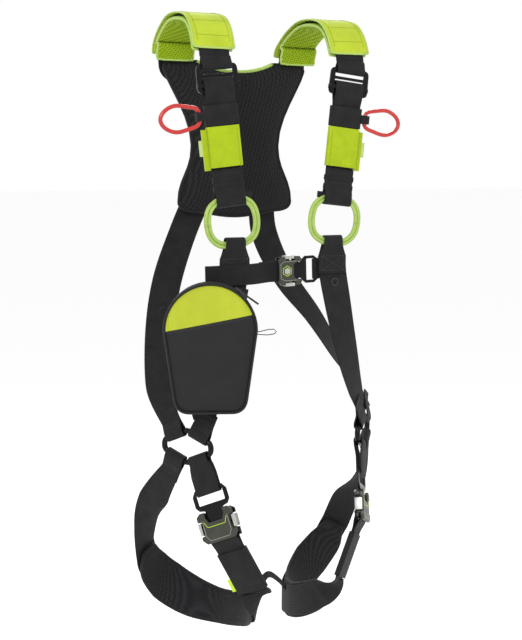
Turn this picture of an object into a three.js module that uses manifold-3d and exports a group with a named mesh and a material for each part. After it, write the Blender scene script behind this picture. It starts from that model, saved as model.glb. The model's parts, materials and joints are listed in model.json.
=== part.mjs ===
// A full-body tree climbing harness: padded back, webbing, two chest loops, hip rings, leg loops and a pouch.
// Millimetres, +Z up. The wearer faces -Y and the wearer's left is +X. Height 0 is near the leg pads' lowest
// point, and the finished group is lowered so that its origin lies between the shoulders of the wearer.
import * as THREE from "three";
import { mergeVertices } from "three/addons/utils/BufferGeometryUtils.js";
import Module from "manifold-3d";

const wasm = await Module();
wasm.setup();

// ---- Driving dimensions ----
const gap = 0.3; // between pieces that touch
const shoulderRest = 900; // height of the wearer's shoulders, where the origin lies
const webbing = { width: 45, thickness: 2.2, gathered: 31, pinched: 30 };
const strip = { width: 30, thickness: 2 }; // chest strap
// How far each fitting reaches past the edge of the strap that it holds.
const beyond = { adjuster: 9, legBuckle: 7.5, chestBuckle: 6, loop: 15.5, pad: 8.5, cover: 9.5 };
const torso = { front: -83, back: 94, adjusterHeight: 824, adjusterSpread: 103.5, lean: 0.11 };
const hip = { spread: 144, front: -62, height: 300, facing: 50 };
const ringSize = { halfWidth: 38.5, halfHeight: 24.5, endHeight: 8, bar: 4.5, corner: 9 };
const loopSize = {
  halfWidth: webbing.width / 2 + beyond.loop, halfHeight: 33, corner: 32, thick: 6.5, broad: 12, drop: 201,
};
const adjuster = {
  halfWidth: webbing.width / 2 + beyond.adjuster, halfHeight: 19.5, thickness: 4, bar: 5, topSlot: 8,
  rail: 7.6, travel: 4,
};
const slidingBar = { radius: 3, ear: 1.8, inset: 0.5 };
const sleeve = { top: -36, height: 29, wall: 2, tabLength: 13, tabHeight: 12, tabWall: 1.8 };
const keeper = { top: -66, height: 57, wall: 1.6, flap: 8, flapThickness: 2, tab: 5, tabHeight: 22 };
const gearCord = { radius: 3.2, length: 58, halfHeight: 18 };
const shoulderPad = { width: webbing.width + 2 * beyond.pad, thickness: 8 };
const shoulderCover = { width: webbing.width + 2 * beyond.cover, thickness: 2.5 };
const backPad = {
  thickness: 12, neck: 851, top: 865, topHalf: 118, topInner: 64, waist: 735, waistHalf: 74,
  bottom: 623, bottomHalf: 97, bottomCorner: 646,
};
const crossing = { height: 752, halfWidth: 45, halfHeight: 38, thickness: 4 };
const dorsalRing = { halfWidth: 29, drop: 56, bar: 4, lug: 9, lugSpread: 13, clearance: 0.5 };
const legBuckle = {
  halfWidth: webbing.width / 2 + beyond.legBuckle, height: 45, band: webbing, press: 2.5, release: 11,
  neck: 15, prong: 5.7, tip: 8,
};
const chestBuckle = {
  halfWidth: strip.width / 2 + beyond.chestBuckle, height: 38, band: strip, press: 2, release: 9,
  neck: 12, prong: 4, tip: 6, clear: 46.4,
};
const latch = {
  coverFront: -7, coverBack: -2.3, floorFront: 3.6, floorBack: 7, tongueFront: -2, tongueBack: 1,
};
const leg = { buckleDrop: 98, tilt: 7, bend: 22 }; // tilt of the sling, then bend of the strap at its bar
const legPad = { thickness: 10, widths: [30, 56, 66, 66, 60, 56, 54, 50, 40] };
const legSleeve = { top: -23, height: 68, wall: 1.6 };
const pouch = {
  radius: 65, drop: 118, baseHalf: 48, baseCorner: 18, depth: 26, wall: 2.5, frontThickness: 8,
  yaw: -22, belowChest: 74, standoff: 16, outward: 44, reach: 30,
};
const hanger = { height: 44, pin: 1.8, clearance: 0.4, setback: 6, lug: 5, tab: 16, along: 33 };
const slider = { width: 9, pull: 34, angle: 35 };

// ---- Helpers ----
const point = (x, y, z) => new THREE.Vector3(x, y, z);
const along = (from, direction, distance) => from.clone().addScaledVector(direction, distance);
const layer = (webbing.thickness + gap) / 2; // half the distance between two layers of webbing
const radians = THREE.MathUtils.degToRad;

function finish(name, geometry, look) {
  const material = new THREE.MeshStandardMaterial(look);
  const mesh = new THREE.Mesh(geometry, material);
  mesh.name = name;
  return mesh;
}

// Joins a row of rings of points, each ring holding the same number of points, into one closed solid.
// `turned` splits each four-sided face along its other diagonal.
function skin(rings, closed = false, turned = false) {
  const count = rings[0].length;
  const places = rings.flat().flatMap((p) => [p.x, p.y, p.z]);
  const faces = [];
  const last = closed ? rings.length : rings.length - 1;
  for (let i = 0; i < last; i++) {
    const here = i * count;
    const next = ((i + 1) % rings.length) * count;
    for (let j = 0; j < count; j++) {
      const k = (j + 1) % count;
      if (turned) faces.push(here + j, here + k, next + j, here + k, next + k, next + j);
      else faces.push(here + j, here + k, next + k, here + j, next + k, next + j);
    }
  }
  const end = (rings.length - 1) * count;
  for (let j = 1; j < count - 1 && !closed; j++) {
    faces.push(0, j + 1, j);
    faces.push(end, end + j, end + j + 1);
  }
  const geometry = new THREE.BufferGeometry();
  geometry.setAttribute("position", new THREE.Float32BufferAttribute(places, 3));
  geometry.setIndex(faces);
  return geometry;
}

// Direction of travel at each place of a row, open or closed.
function travel(places, closed = false) {
  const count = places.length;
  return places.map((_, i) => {
    const before = closed ? places[(i + count - 1) % count] : places[Math.max(i - 1, 0)];
    const after = closed ? places[(i + 1) % count] : places[Math.min(i + 1, count - 1)];
    return after.clone().sub(before).normalize();
  });
}

// A flat band through stations { at, across, width } of even thickness, ending or endless. A station may
// bring its own normal.
function band(stations, thickness, rounding = 0, closed = false, turned = false) {
  const ways = travel(stations.map((s) => s.at), closed);
  const rings = stations.map((s, i) => {
    const u = s.across.clone().addScaledVector(ways[i], -s.across.dot(ways[i])).normalize();
    const v = s.normal ?? ways[i].clone().cross(u);
    return bandSection(s.width / 2, thickness / 2, rounding).map(([a, b]) => {
      return along(along(s.at, u, a), v, b);
    });
  });
  return skin(rings, closed, turned);
}

// The corners of a band's section: a rectangle, or a lens-like shape with thinner edges.
function bandSection(half, deep, rounding) {
  if (!rounding) return [[-half, -deep], [half, -deep], [half, deep], [-half, deep]];
  const inner = half - rounding;
  const edge = deep * 0.45;
  return [
    [-half, -edge], [-inner, -deep], [inner, -deep], [half, -edge],
    [half, edge], [inner, deep], [-inner, deep], [-half, edge],
  ];
}

// Stations on one smooth curve through a few chosen ones.
function smooth(keys, steps) {
  const route = new THREE.CatmullRomCurve3(keys.map((k) => k.at), false, "centripetal");
  const turn = new THREE.CatmullRomCurve3(keys.map((k) => k.across), false, "centripetal");
  const result = [];
  for (let i = 0; i <= steps; i++) {
    const t = i / steps;
    const place = t * (keys.length - 1);
    const low = Math.min(Math.floor(place), keys.length - 2);
    const width = THREE.MathUtils.lerp(keys[low].width, keys[low + 1].width, place - low);
    result.push({ at: route.getPoint(t), across: turn.getPoint(t).normalize(), width });
  }
  return result;
}

// A sewn eye round a bar, from the standing part to the end of the tail. `away` leaves the bar, and the
// standing part lies on the `out` side. `radius` is to the webbing's centre; `reach` lowers the turn.
function eye({ bar, across, away, out, radius, reach = 0, run = 24, tail = 40, width, spread = layer }) {
  const side = (s) => {
    const share = Math.min(s / run, 1);
    return spread + (radius - spread) * (0.5 + 0.5 * Math.cos(share * Math.PI));
  };
  const result = [];
  const legSteps = 5;
  for (let i = legSteps; i >= 1; i--) {
    const s = (run * i) / legSteps;
    result.push(along(along(bar, away, s), out, side(s)));
  }
  const turnSteps = 8;
  const centre = along(bar, away, -reach);
  for (let i = 0; i <= turnSteps; i++) {
    const angle = (Math.PI * i) / turnSteps;
    result.push(along(along(centre, out, radius * Math.cos(angle)), away, -radius * Math.sin(angle)));
  }
  for (let i = 1; i <= legSteps; i++) {
    const s = (run * i) / legSteps;
    result.push(along(along(bar, away, s), out, -side(s)));
  }
  if (tail > run) result.push(along(along(bar, away, tail), out, -spread));
  return result.map((at) => ({ at, across, width }));
}

// A round or flat bar bent along a closed route: `broad` lies in the route's plane and `thick` across it.
function hoop(places, plane, broad, thick, sides) {
  const ways = travel(places, true);
  const rings = places.map((at, i) => {
    const u = plane.clone().cross(ways[i]).normalize();
    return Array.from({ length: sides }, (_, j) => {
      const angle = (2 * Math.PI * (j + 0.5)) / sides;
      const offset = along(at, u, (broad / 2) * Math.cos(angle));
      return along(offset, plane, (thick / 2) * Math.sin(angle));
    });
  });
  return skin(rings, true);
}

// Points of a shape's outline placed by a function of (a, b).
function outlinePlaces(shape, steps, place) {
  return shape.getSpacedPoints(steps).slice(0, -1).map((p) => place(p.x, p.y));
}

function roundedOutline(corners, radius) {
  const shape = new THREE.Shape();
  const count = corners.length;
  corners.forEach((corner, i) => {
    const before = new THREE.Vector2(...corners[(i + count - 1) % count]);
    const here = new THREE.Vector2(...corner);
    const after = new THREE.Vector2(...corners[(i + 1) % count]);
    const r = Array.isArray(radius) ? radius[i] : radius;
    const enter = here.clone().add(before.sub(here).setLength(r));
    const leave = here.clone().add(after.sub(here).setLength(r));
    if (i === 0) shape.moveTo(enter.x, enter.y);
    else shape.lineTo(enter.x, enter.y);
    shape.quadraticCurveTo(here.x, here.y, leave.x, leave.y);
  });
  shape.closePath();
  return shape;
}

// A plate in the XZ plane between two values of Y. The outline's second coordinate is height.
function plate(shape, from, to, curveSegments = 5) {
  const geometry = new THREE.ExtrudeGeometry(shape, { depth: to - from, bevelEnabled: false, curveSegments });
  geometry.rotateX(Math.PI / 2);
  geometry.translate(0, to, 0);
  return geometry;
}

function box(x0, x1, y0, y1, z0, z1) {
  const geometry = new THREE.BoxGeometry(x1 - x0, y1 - y0, z1 - z0);
  geometry.translate((x0 + x1) / 2, (y0 + y1) / 2, (z0 + z1) / 2);
  return geometry;
}

function solid(geometry) {
  const bare = geometry.index ? geometry.toNonIndexed() : geometry.clone();
  bare.deleteAttribute("normal");
  bare.deleteAttribute("uv");
  const merged = mergeVertices(bare, 1e-4);
  const vertProperties = new Float32Array(merged.attributes.position.array);
  const triVerts = new Uint32Array(merged.index.array);
  return new wasm.Manifold(new wasm.Mesh({ numProp: 3, vertProperties, triVerts }));
}

function surface(made) {
  const mesh = made.getMesh();
  const geometry = new THREE.BufferGeometry();
  geometry.setAttribute("position", new THREE.BufferAttribute(new Float32Array(mesh.vertProperties), 3));
  geometry.setIndex(new THREE.BufferAttribute(new Uint32Array(mesh.triVerts), 1));
  return geometry;
}

const join = (...parts) => surface(parts.map(solid).reduce((a, b) => a.add(b)));
const cut = (body, ...tools) => surface(tools.map(solid).reduce((a, b) => a.subtract(b), solid(body)));

// A group whose Z runs along `up` and whose -Y faces `front`.
function framed(origin, up, front) {
  const z = up.clone().normalize();
  const y = front.clone().addScaledVector(z, -front.dot(z)).normalize().negate();
  const x = y.clone().cross(z);
  const group = new THREE.Group();
  group.position.copy(origin);
  group.quaternion.setFromRotationMatrix(new THREE.Matrix4().makeBasis(x, y, z));
  group.userData.axes = { x, y, z };
  return group;
}

const inFrame = (group, x, y, z) => {
  const { axes } = group.userData;
  return along(along(along(group.position, axes.x, x), axes.y, y), axes.z, z);
};

// ---- Looks ----
const look = {
  webbing: { color: "#2b2b2c", roughness: 0.85, metalness: 0 },
  mesh: { color: "#2a2a2a", roughness: 0.95, metalness: 0 },
  lime: { color: "#b4cc2a", roughness: 0.85, metalness: 0 },
  keeper: { color: "#b5d310", roughness: 0.8, metalness: 0 },
  loop: { color: "#b4d468", roughness: 0.85, metalness: 0 },
  red: { color: "#d8322f", roughness: 0.7, metalness: 0 },
  black: { color: "#1b1b1c", roughness: 0.35, metalness: 0.6 },
  steel: { color: "#222324", roughness: 0.4, metalness: 0.7 },
  gunmetal: { color: "#3c3e38", roughness: 0.45, metalness: 0.7 },
  silver: { color: "#b9bab2", roughness: 0.35, metalness: 0.9 },
  plastic: { color: "#242424", roughness: 0.5, metalness: 0 },
};

// ---- Landmarks on one side of the body, +X outwards ----
const columnUp = point(torso.lean, 0, 1).normalize();
const columnAt = point(torso.adjusterSpread, torso.front, torso.adjusterHeight);
const column = () => framed(columnAt, columnUp, point(0, -1, 0));
const columnAxes = column();
const ringCentre = point(hip.spread, hip.front, hip.height);
const ringOut = point(Math.sin(radians(hip.facing)), -Math.cos(radians(hip.facing)), 0);
const ringLong = point(Math.cos(radians(hip.facing)), Math.sin(radians(hip.facing)), 0);
const up = point(0, 0, 1);
// The four slanted sides of the ring: front or rear, upper or lower.
function ringSide(rear, upper) {
  const mid = along(along(ringCentre, ringLong, (rear * ringSize.halfWidth) / 2), up,
    (upper * (ringSize.halfHeight + ringSize.endHeight)) / 2);
  const run = point(0, 0, 0).addScaledVector(ringLong, rear * ringSize.halfWidth)
    .addScaledVector(up, -upper * (ringSize.halfHeight - ringSize.endHeight)).normalize();
  const across = run.multiplyScalar(rear);
  const away = across.clone().cross(ringOut).normalize();
  if (away.z * upper < 0) away.negate();
  return { bar: mid, across, away };
}
const ringEye = ringSize.bar + 0.6 + webbing.thickness / 2;

// ---- Back pad, shoulder webbing and dorsal ring ----
function backPadOutline() {
  const b = backPad;
  const shape = new THREE.Shape();
  shape.moveTo(0, b.neck);
  shape.bezierCurveTo(26, b.neck, 44, b.neck + 4, b.topInner, b.top);
  shape.lineTo(b.topHalf - 10, b.top);
  shape.quadraticCurveTo(b.topHalf, b.top, b.topHalf + 2, b.top - 12);
  shape.bezierCurveTo(b.topHalf - 6, b.top - 40, b.waistHalf, b.waist + 45, b.waistHalf, b.waist);
  const foot = [b.bottomHalf, b.bottomCorner];
  shape.bezierCurveTo(b.waistHalf, b.waist - 40, foot[0], foot[1] + 40, ...foot);
  shape.quadraticCurveTo(b.bottomHalf - 2, b.bottomCorner - 12, b.bottomHalf - 20, b.bottomCorner - 14);
  shape.bezierCurveTo(50, b.bottomCorner - 15, 30, b.bottom, 0, b.bottom);
  const half = shape.getPoints(6);
  const other = half.slice(1, -1).reverse().map((p) => new THREE.Vector2(-p.x, p.y));
  return new THREE.Shape([...half, ...other]);
}

function backPadPiece() {
  const geometry = plate(backPadOutline(), torso.back, torso.back + backPad.thickness);
  return finish("back_pad", geometry, look.mesh);
}

const padOuter = torso.back + backPad.thickness; // rear face of the back pad
const webOnPad = padOuter + gap + webbing.thickness / 2;

// Route of the shoulder webbing over one shoulder, from the front to the rear face of the back pad. The
// first number of each is the distance out from the shoulder adjuster's middle.
const shoulderRoute = [
  [3, torso.front + 2.2, 854], [3, torso.front + 6, 867], [2.5, torso.front + 17.5, 890],
  [2, torso.front + 38, 908.5], [1.5, torso.front + 74, 918], [1.5, torso.back - 63, 918.5],
  [0.5, torso.back - 31, 909], [-0.5, torso.back - 6, 896], [-1.5, webOnPad - 4, 883],
  [-2.2, webOnPad, 868], [-2.5, webOnPad + 0.2, 856],
];

const shoulderStations = smooth(shoulderRoute.map(([x, y, z]) => {
  return { at: point(torso.adjusterSpread + x, y, z), across: point(1, 0, 0), width: webbing.width };
}), 36);

// The webbing's line below the pad, from the crossing to each hip, as it drapes, with its share of the turn.
const drape = {
  right: [[-62, 0.8, 650, 0], [-86, 0.8, 598, 0.05], [-118, -14, 525, 0.4], [-142, -46, 450, 0.7],
    [-158, -92, 378, 0.9]],
  left: [[46, 0.8, 650, 0], [54, 0.8, 596, 0.05], [86, -10, 524, 0.35], [128, -30, 462, 0.6],
    [156, -66, 398, 0.85]],
};

// One shoulder's webbing: adjuster, shoulder, crossing on the back, and the hip ring of the other side.
function shoulderWebbing(name, sign, level, below) {
  const own = (v) => point(sign * v.x, v.y, v.z);
  const far = (v) => point(-sign * v.x, v.y, v.z);
  const width = webbing.width;
  const { x: across, z: away } = columnAxes.userData.axes;
  const start = eye({
    bar: own(inFrame(columnAxes, 0, 0, adjuster.halfHeight - adjuster.bar / 2)),
    across: own(across).multiplyScalar(sign), away: own(away), out: point(0, -1, 0),
    radius: adjuster.bar / 2 + 1.2 + webbing.thickness / 2, run: 12, tail: 12, width,
  }).reverse();
  const side = ringSide(1, 1);
  const end = eye({
    bar: far(side.bar), across: far(side.across).multiplyScalar(-sign), away: far(side.away),
    out: far(ringOut), radius: ringEye, width: webbing.gathered,
  });
  const over = shoulderStations.map((s) => ({ ...s, at: own(s.at) }));
  const keys = [over.pop()];
  const slant = point(1, 0, -sign * 0.75).normalize();
  for (const [x, rise] of [[torso.adjusterSpread - 45.5, 70], [22, 30], [-22, -30]]) {
    keys.push({ at: point(sign * x, webOnPad + level, crossing.height + rise), across: slant, width });
  }
  const hipAcross = far(ringLong).multiplyScalar(-sign);
  below.forEach(([x, y, z, turn]) => {
    const turned = slant.clone().lerp(hipAcross, turn).normalize();
    keys.push({ at: point(x, webOnPad + y + level * (1 - turn), z), across: turned, width });
  });
  keys.push(end[0]);
  const route = [...start, ...over, ...smooth(keys, 48), ...end.slice(1)];
  return finish(name, band(route, webbing.thickness), look.webbing);
}

function dorsalPlate() {
  const c = crossing;
  const face = webOnPad + 2 * layer + webbing.thickness / 2 + 2 * gap;
  const corners = [[-c.halfWidth, -c.halfHeight], [c.halfWidth, -c.halfHeight],
    [c.halfWidth, c.halfHeight], [-c.halfWidth, c.halfHeight]];
  const flat = plate(roundedOutline(corners, 14), face, face + c.thickness);
  flat.translate(0, 0, c.height);
  const { lug, lugSpread, bar, clearance } = dorsalRing;
  const reach = face + c.thickness + 2 * (bar + clearance) + 3;
  const pinY = face + c.thickness + bar + clearance + 0.6;
  const pinZ = c.height + 12;
  const lugs = [-1, 1].map((s) => {
    return box(s * lugSpread - lug / 2, s * lugSpread + lug / 2, face + 1, reach, pinZ - 9, pinZ + 9);
  });
  const hole = new THREE.CylinderGeometry(bar + clearance, bar + clearance, 4 * lugSpread, 20);
  hole.rotateZ(Math.PI / 2);
  hole.translate(0, pinY, pinZ);
  const body = cut(join(flat, ...lugs), hole);
  return { piece: finish("dorsal_plate", body, look.plastic), pinY, pinZ };
}

function dorsalRingPiece(pinY, pinZ) {
  const { halfWidth, drop, bar } = dorsalRing;
  const middle = halfWidth - bar;
  const shape = roundedOutline([[-middle, 0], [-middle, -drop + bar], [middle, -drop + bar], [middle, 0]],
    [7, 22, 22, 7]);
  const places = outlinePlaces(shape, 44, (x, z) => point(x, pinY, pinZ + z));
  return finish("dorsal_ring", hoop(places, point(0, 1, 0), 2 * bar, 2 * bar, 10), look.steel);
}

// ---- One side: shoulder ----
function offsetRoute(route, distance) {
  const ways = travel(route);
  return route.map((p, i) => along(p, ways[i].clone().cross(point(1, 0, 0)).normalize(), distance));
}

const shoulderLine = shoulderStations.slice(3).map((s) => s.at);

function shoulderPadPiece() {
  const inward = webbing.thickness / 2 + gap + shoulderPad.thickness / 2;
  const over = offsetRoute(shoulderLine, inward).slice(0, 24);
  const behind = torso.back - gap - 0.4 - shoulderPad.thickness / 2;
  const rear = [[behind - 6, 885], [behind - 1, 873], [behind, 862]];
  const keys = [...over, ...rear.map(([y, z]) => point(torso.adjusterSpread - 0.5, y, z))];
  const stations = smooth(keys.map((at) => ({ at, across: point(1, 0, 0), width: shoulderPad.width })), 26);
  return band(stations, shoulderPad.thickness, 6);
}

function shoulderCoverPiece() {
  const outward = webbing.thickness / 2 + gap + shoulderCover.thickness / 2;
  const places = offsetRoute(shoulderLine, -outward).slice(0, -5);
  const stations = places.map((at) => ({ at, across: point(1, 0, 0), width: shoulderCover.width }));
  return band(stations, shoulderCover.thickness, 4);
}

// ---- One side: chest column, in the column's own frame (Z up the strap, -Y outwards) ----
const barRest = -adjuster.halfHeight + adjuster.bar + slidingBar.radius + 2.6;

function adjusterFrame() {
  const a = adjuster;
  const outer = roundedOutline([[-a.halfWidth, -a.halfHeight], [a.halfWidth, -a.halfHeight],
    [a.halfWidth - 1, a.halfHeight], [-a.halfWidth + 1, a.halfHeight]], 8);
  const inner = a.halfWidth - a.rail;
  const slotTop = a.halfHeight - a.bar;
  const slotLow = slotTop - a.topSlot;
  const rect = (x0, x1, z0, z1) => new THREE.Path(
    roundedOutline([[x0, z0], [x1, z0], [x1, z1], [x0, z1]], 1).getPoints(3));
  outer.holes.push(rect(-inner, inner, slotLow, slotTop));
  outer.holes.push(rect(-inner, inner, -a.halfHeight + a.bar, slotLow - a.bar + 1));
  return plate(outer, -a.thickness / 2, a.thickness / 2);
}

function adjusterBar() {
  const { radius, ear, inset } = slidingBar;
  const reach = adjuster.halfWidth - inset;
  const inner = adjuster.halfWidth - adjuster.rail - gap;
  const face = adjuster.thickness / 2 + gap;
  const rod = new THREE.CylinderGeometry(radius, radius, 2 * inner, 14);
  rod.rotateZ(Math.PI / 2);
  rod.translate(0, 0, barRest);
  const cheeks = [-1, 1].flatMap((s) => {
    const low = s < 0 ? -reach : inner - 0.7;
    const high = s < 0 ? -inner + 0.7 : reach;
    const end = s < 0 ? [-inner, -inner + 0.7] : [inner - 0.7, inner];
    return [
      box(low, high, -face - ear, -face, barRest - 3, barRest + 3),
      box(low, high, face, face + ear, barRest - 3, barRest + 3),
      box(end[0], end[1], -face - ear, face + ear, barRest - 3, barRest + 3),
    ];
  });
  return join(rod, ...cheeks);
}

const loopTop = -loopSize.drop + loopSize.halfHeight;
const loopBottom = -loopSize.drop - loopSize.halfHeight;
const loopEye = loopSize.thick / 2 + 0.6 + webbing.thickness / 2;
const loopReach = (loopSize.broad - loopSize.thick) / 2;

function chestWebbing() {
  const across = point(1, 0, 0);
  const width = webbing.width;
  const key = (y, z) => ({ at: point(0, y, z), across, width });
  const turn = slidingBar.radius + 0.5 + webbing.thickness / 2;
  const fold = eye({
    bar: point(0, 0, barRest), across, away: point(0, 0, -1), out: point(0, 1, 0), radius: turn,
    reach: adjuster.travel, run: 1, tail: 1, width, spread: turn,
  });
  const tail = [key(-layer, -118), key(-layer, -90), key(-layer, -60), key(-layer, -34), key(-turn, -20)];
  const standing = [key(turn, -20), key(layer, -34), key(layer, -70), key(layer, loopTop + 60)];
  const low = eye({
    bar: point(0, 0, loopTop), across, away: point(0, 0, 1), out: point(0, 1, 0), radius: loopEye,
    reach: loopReach + 3, run: 20, tail: 42, width,
  });
  return band([...tail, ...fold.reverse(), ...standing, ...low], webbing.thickness);
}

function attachmentLoop() {
  const l = loopSize;
  const shape = roundedOutline([[-l.halfWidth, -l.halfHeight], [l.halfWidth, -l.halfHeight],
    [l.halfWidth, l.halfHeight], [-l.halfWidth, l.halfHeight]], l.corner);
  const places = outlinePlaces(shape, 40, (x, z) => point(x, 0, z - l.drop));
  return hoop(places, point(0, 1, 0), l.broad, l.thick, 8);
}

// A flat tube round both layers of the webbing, `wall` thick, standing from `low` to `high`.
function wrap(low, high, wall, extraWidth = 0.4) {
  const inX = webbing.width / 2 + extraWidth;
  const inY = webbing.thickness + gap / 2 + gap;
  const ring = roundedOutline([[-inX - wall, -inY - wall], [inX + wall, -inY - wall],
    [inX + wall, inY + wall], [-inX - wall, inY + wall]], 2);
  const hole = roundedOutline([[-inX, -inY], [inX, -inY], [inX, inY], [-inX, inY]], 0.6);
  ring.holes.push(new THREE.Path(hole.getPoints(2)));
  const settings = { depth: high - low, bevelEnabled: false, curveSegments: 3 };
  const geometry = new THREE.ExtrudeGeometry(ring, settings);
  geometry.translate(0, 0, low);
  return geometry;
}

const wrapEdge = webbing.width / 2 + 0.4 + sleeve.wall;
const loopPivot = wrapEdge + sleeve.tabLength - gearCord.radius - sleeve.tabWall - 0.6;
const sleeveMid = sleeve.top - sleeve.height / 2;

function loopSleeve() {
  const s = sleeve;
  const half = gearCord.radius + 0.4 + s.tabWall;
  const tab = box(wrapEdge - 1, loopPivot + half, -half, half, sleeveMid - s.tabHeight / 2,
    sleeveMid + s.tabHeight / 2);
  const hole = new THREE.CylinderGeometry(gearCord.radius + 0.4, gearCord.radius + 0.4, 40, 16);
  hole.rotateX(Math.PI / 2);
  hole.translate(loopPivot, 0, sleeveMid);
  return cut(join(wrap(s.top - s.height, s.top, s.wall), tab), hole);
}

function gearLoop() {
  const h = sleeve.tabHeight / 2 + 1.5;
  const g = gearCord;
  const half = [[0, 0], [0, h - 2], [4, h + 4], [16, g.halfHeight - 3], [g.length * 0.62, g.halfHeight],
    [g.length - 6, g.halfHeight * 0.62], [g.length, 0]];
  const points = [...half, ...half.slice(1, -1).reverse().map(([x, z]) => [x, -z])];
  const curve = new THREE.CatmullRomCurve3(points.map(([x, z]) => {
    return point(loopPivot + x, 0, sleeveMid + z);
  }), true, "catmullrom", 0.5);
  return hoop(curve.getSpacedPoints(44).slice(0, -1), point(0, -1, 0), 2 * g.radius, 2 * g.radius, 8);
}

function keeperPiece() {
  const k = keeper;
  const low = k.top - k.height;
  const edge = webbing.width / 2 + 0.4 + k.wall;
  const flap = box(edge - 1, edge + k.flap, 0.4, 0.4 + k.flapThickness, low - 3, k.top - 3);
  const mid = k.top - k.height / 2;
  const tab = box(edge - 1, edge + k.flap + k.tab, 1, 2.2, mid - k.tabHeight / 2, mid + k.tabHeight / 2);
  return join(wrap(low, k.top, k.wall), flap, tab);
}

// ---- One side: front strap and hip ring ----
const frontEyeBar = inFrame(columnAxes, 0, 0, loopBottom);

function frontStrapRoute() {
  const down = point(0, 0, -1);
  const start = eye({
    bar: frontEyeBar, across: point(1, 0, 0), away: down, out: point(0, 1, 0), radius: loopEye,
    reach: loopReach + 2, run: 20, tail: 46, width: webbing.pinched,
  }).reverse();
  start.forEach((s, i) => {
    const drop = frontEyeBar.z - s.at.z;
    const share = (THREE.MathUtils.clamp(drop, 3, 20) - 3) / 17;
    s.width = THREE.MathUtils.lerp(webbing.pinched, webbing.width, share);
  });
  const side = ringSide(-1, 1);
  const end = eye({
    bar: side.bar, across: side.across, away: side.away, out: ringOut, radius: ringEye,
    width: webbing.gathered,
  });
  const fall = frontEyeBar.z - side.bar.z;
  const key = (x, y, share, turn) => ({
    at: point(frontEyeBar.x + x, torso.front + y, frontEyeBar.z - fall * share),
    across: point(1, 0, 0).lerp(side.across, turn).normalize(), width: webbing.width,
  });
  const keys = [start[start.length - 1], key(2, 1.2, 0.16, 0), key(9, 0.5, 0.3, 0.08), key(27, 1, 0.6, 0.4),
    key(45, 4, 0.83, 0.8), end[0]];
  return [...start.slice(0, -1), ...smooth(keys, 34), ...end.slice(1)];
}

function hipRing() {
  const r = ringSize;
  const shape = roundedOutline([[-r.halfWidth, -r.endHeight], [0, -r.halfHeight], [r.halfWidth, -r.endHeight],
    [r.halfWidth, r.endHeight], [0, r.halfHeight], [-r.halfWidth, r.endHeight]], [7, 4, 7, 7, 4, 7]);
  const places = outlinePlaces(shape, 44, (a, b) => along(along(ringCentre, ringLong, a), up, b));
  return hoop(places, ringOut, 2 * r.bar, 2 * r.bar, 10);
}

// ---- One side: leg loop, in the leg's own frame (Z up the sling, -Y outwards) ----
const slingSide = ringSide(-1, -1);
const legUp = point(0, 0, 0).addScaledVector(slingSide.away, -Math.cos(radians(leg.tilt)))
  .addScaledVector(ringOut, -Math.sin(radians(leg.tilt)));
const legFrame = () => framed(along(slingSide.bar, legUp, -leg.buckleDrop), legUp, ringOut);
const legAxes = legFrame();
const bandBarY = (latch.floorFront + latch.coverBack) / 2 + 2.65; // depth of the bar that holds the strap
const bandBarRadius = 2.4;
const bandBarZ = (b) => -b.height / 2 + bandBarRadius + 1;
// The strap below the leg buckle has its own frame, bent about the buckle's bar, where its origin lies.
const strapUp = legUp.clone().applyAxisAngle(legAxes.userData.axes.x, radians(leg.bend));
const strapFrame = () => framed(inFrame(legAxes, 0, bandBarY, bandBarZ(legBuckle)), strapUp,
  legAxes.userData.axes.y.clone().negate());
const strapAxes = strapFrame();

// ---- A two-button buckle (Z towards the tongue, -Y outwards) ----
function buckleOutline(b, low, high) {
  const h = b.halfWidth;
  const pad = b.height * 0.2 + 0.6;
  const inset = h - 3.5 - b.press - 0.4;
  const chamfer = b.halfWidth * 0.22;
  const lowChamfer = Math.min(chamfer, (-pad - 1 - low) * 0.6);
  const right = [[h - lowChamfer, low], [h, low + lowChamfer], [h, -pad - 1], [inset, -pad], [inset, pad],
    [h, pad + 1], [h, high - chamfer * 0.7], [h - chamfer, high]];
  return [...right, ...right.map(([x, z]) => [-x, z]).reverse()];
}

const flatShape = (corners) => new THREE.Shape(corners.map(([x, z]) => new THREE.Vector2(x, z)));

function buckleCover(b) {
  const half = b.height / 2;
  const shape = flatShape(buckleOutline(b, -half, half));
  const body = plate(shape, latch.coverFront, latch.coverBack);
  const mouth = flatShape([[-b.neck + 3, half * 0.3], [b.neck - 3, half * 0.3], [b.neck + 1, half * 0.62],
    [b.neck + 1, half + 2], [-b.neck - 1, half + 2], [-b.neck - 1, half * 0.62]]);
  return cut(body, plate(mouth, latch.coverFront - 1, latch.coverBack + 1));
}

function buckleBase(b) {
  const half = b.height / 2;
  const pad = b.height * 0.2;
  const barZ = bandBarZ(b);
  const floorLow = barZ + bandBarRadius + b.band.thickness + 1;
  const floor = plate(flatShape(buckleOutline({ ...b, halfWidth: b.halfWidth - 0.6 }, floorLow, half - 1)),
    latch.floorFront, latch.floorBack);
  const parts = [];
  const inner = b.band.width / 2 + 1;
  for (const s of [-1, 1]) {
    const span = (from, to) => [Math.min(s * from, s * to), Math.max(s * from, s * to)];
    const [a0, a1] = span(inner, b.halfWidth - 1);
    parts.push(box(a0, a1, bandBarY - bandBarRadius, latch.floorBack - 0.4,
      barZ - bandBarRadius, floorLow + 1));
    const [w0, w1] = span(b.neck + 0.6, b.halfWidth - 3);
    parts.push(box(w0, w1, latch.coverBack + gap, latch.floorFront + 1, pad + 1.6, half - 3));
    parts.push(box(w0, w1, latch.coverBack + gap, latch.floorFront + 1, floorLow, -pad - 0.8));
  }
  const rod = new THREE.CylinderGeometry(bandBarRadius, bandBarRadius, 2 * inner + 2, 12);
  rod.rotateZ(Math.PI / 2);
  rod.translate(0, bandBarY, barZ);
  return join(floor, ...parts, rod);
}

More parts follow.
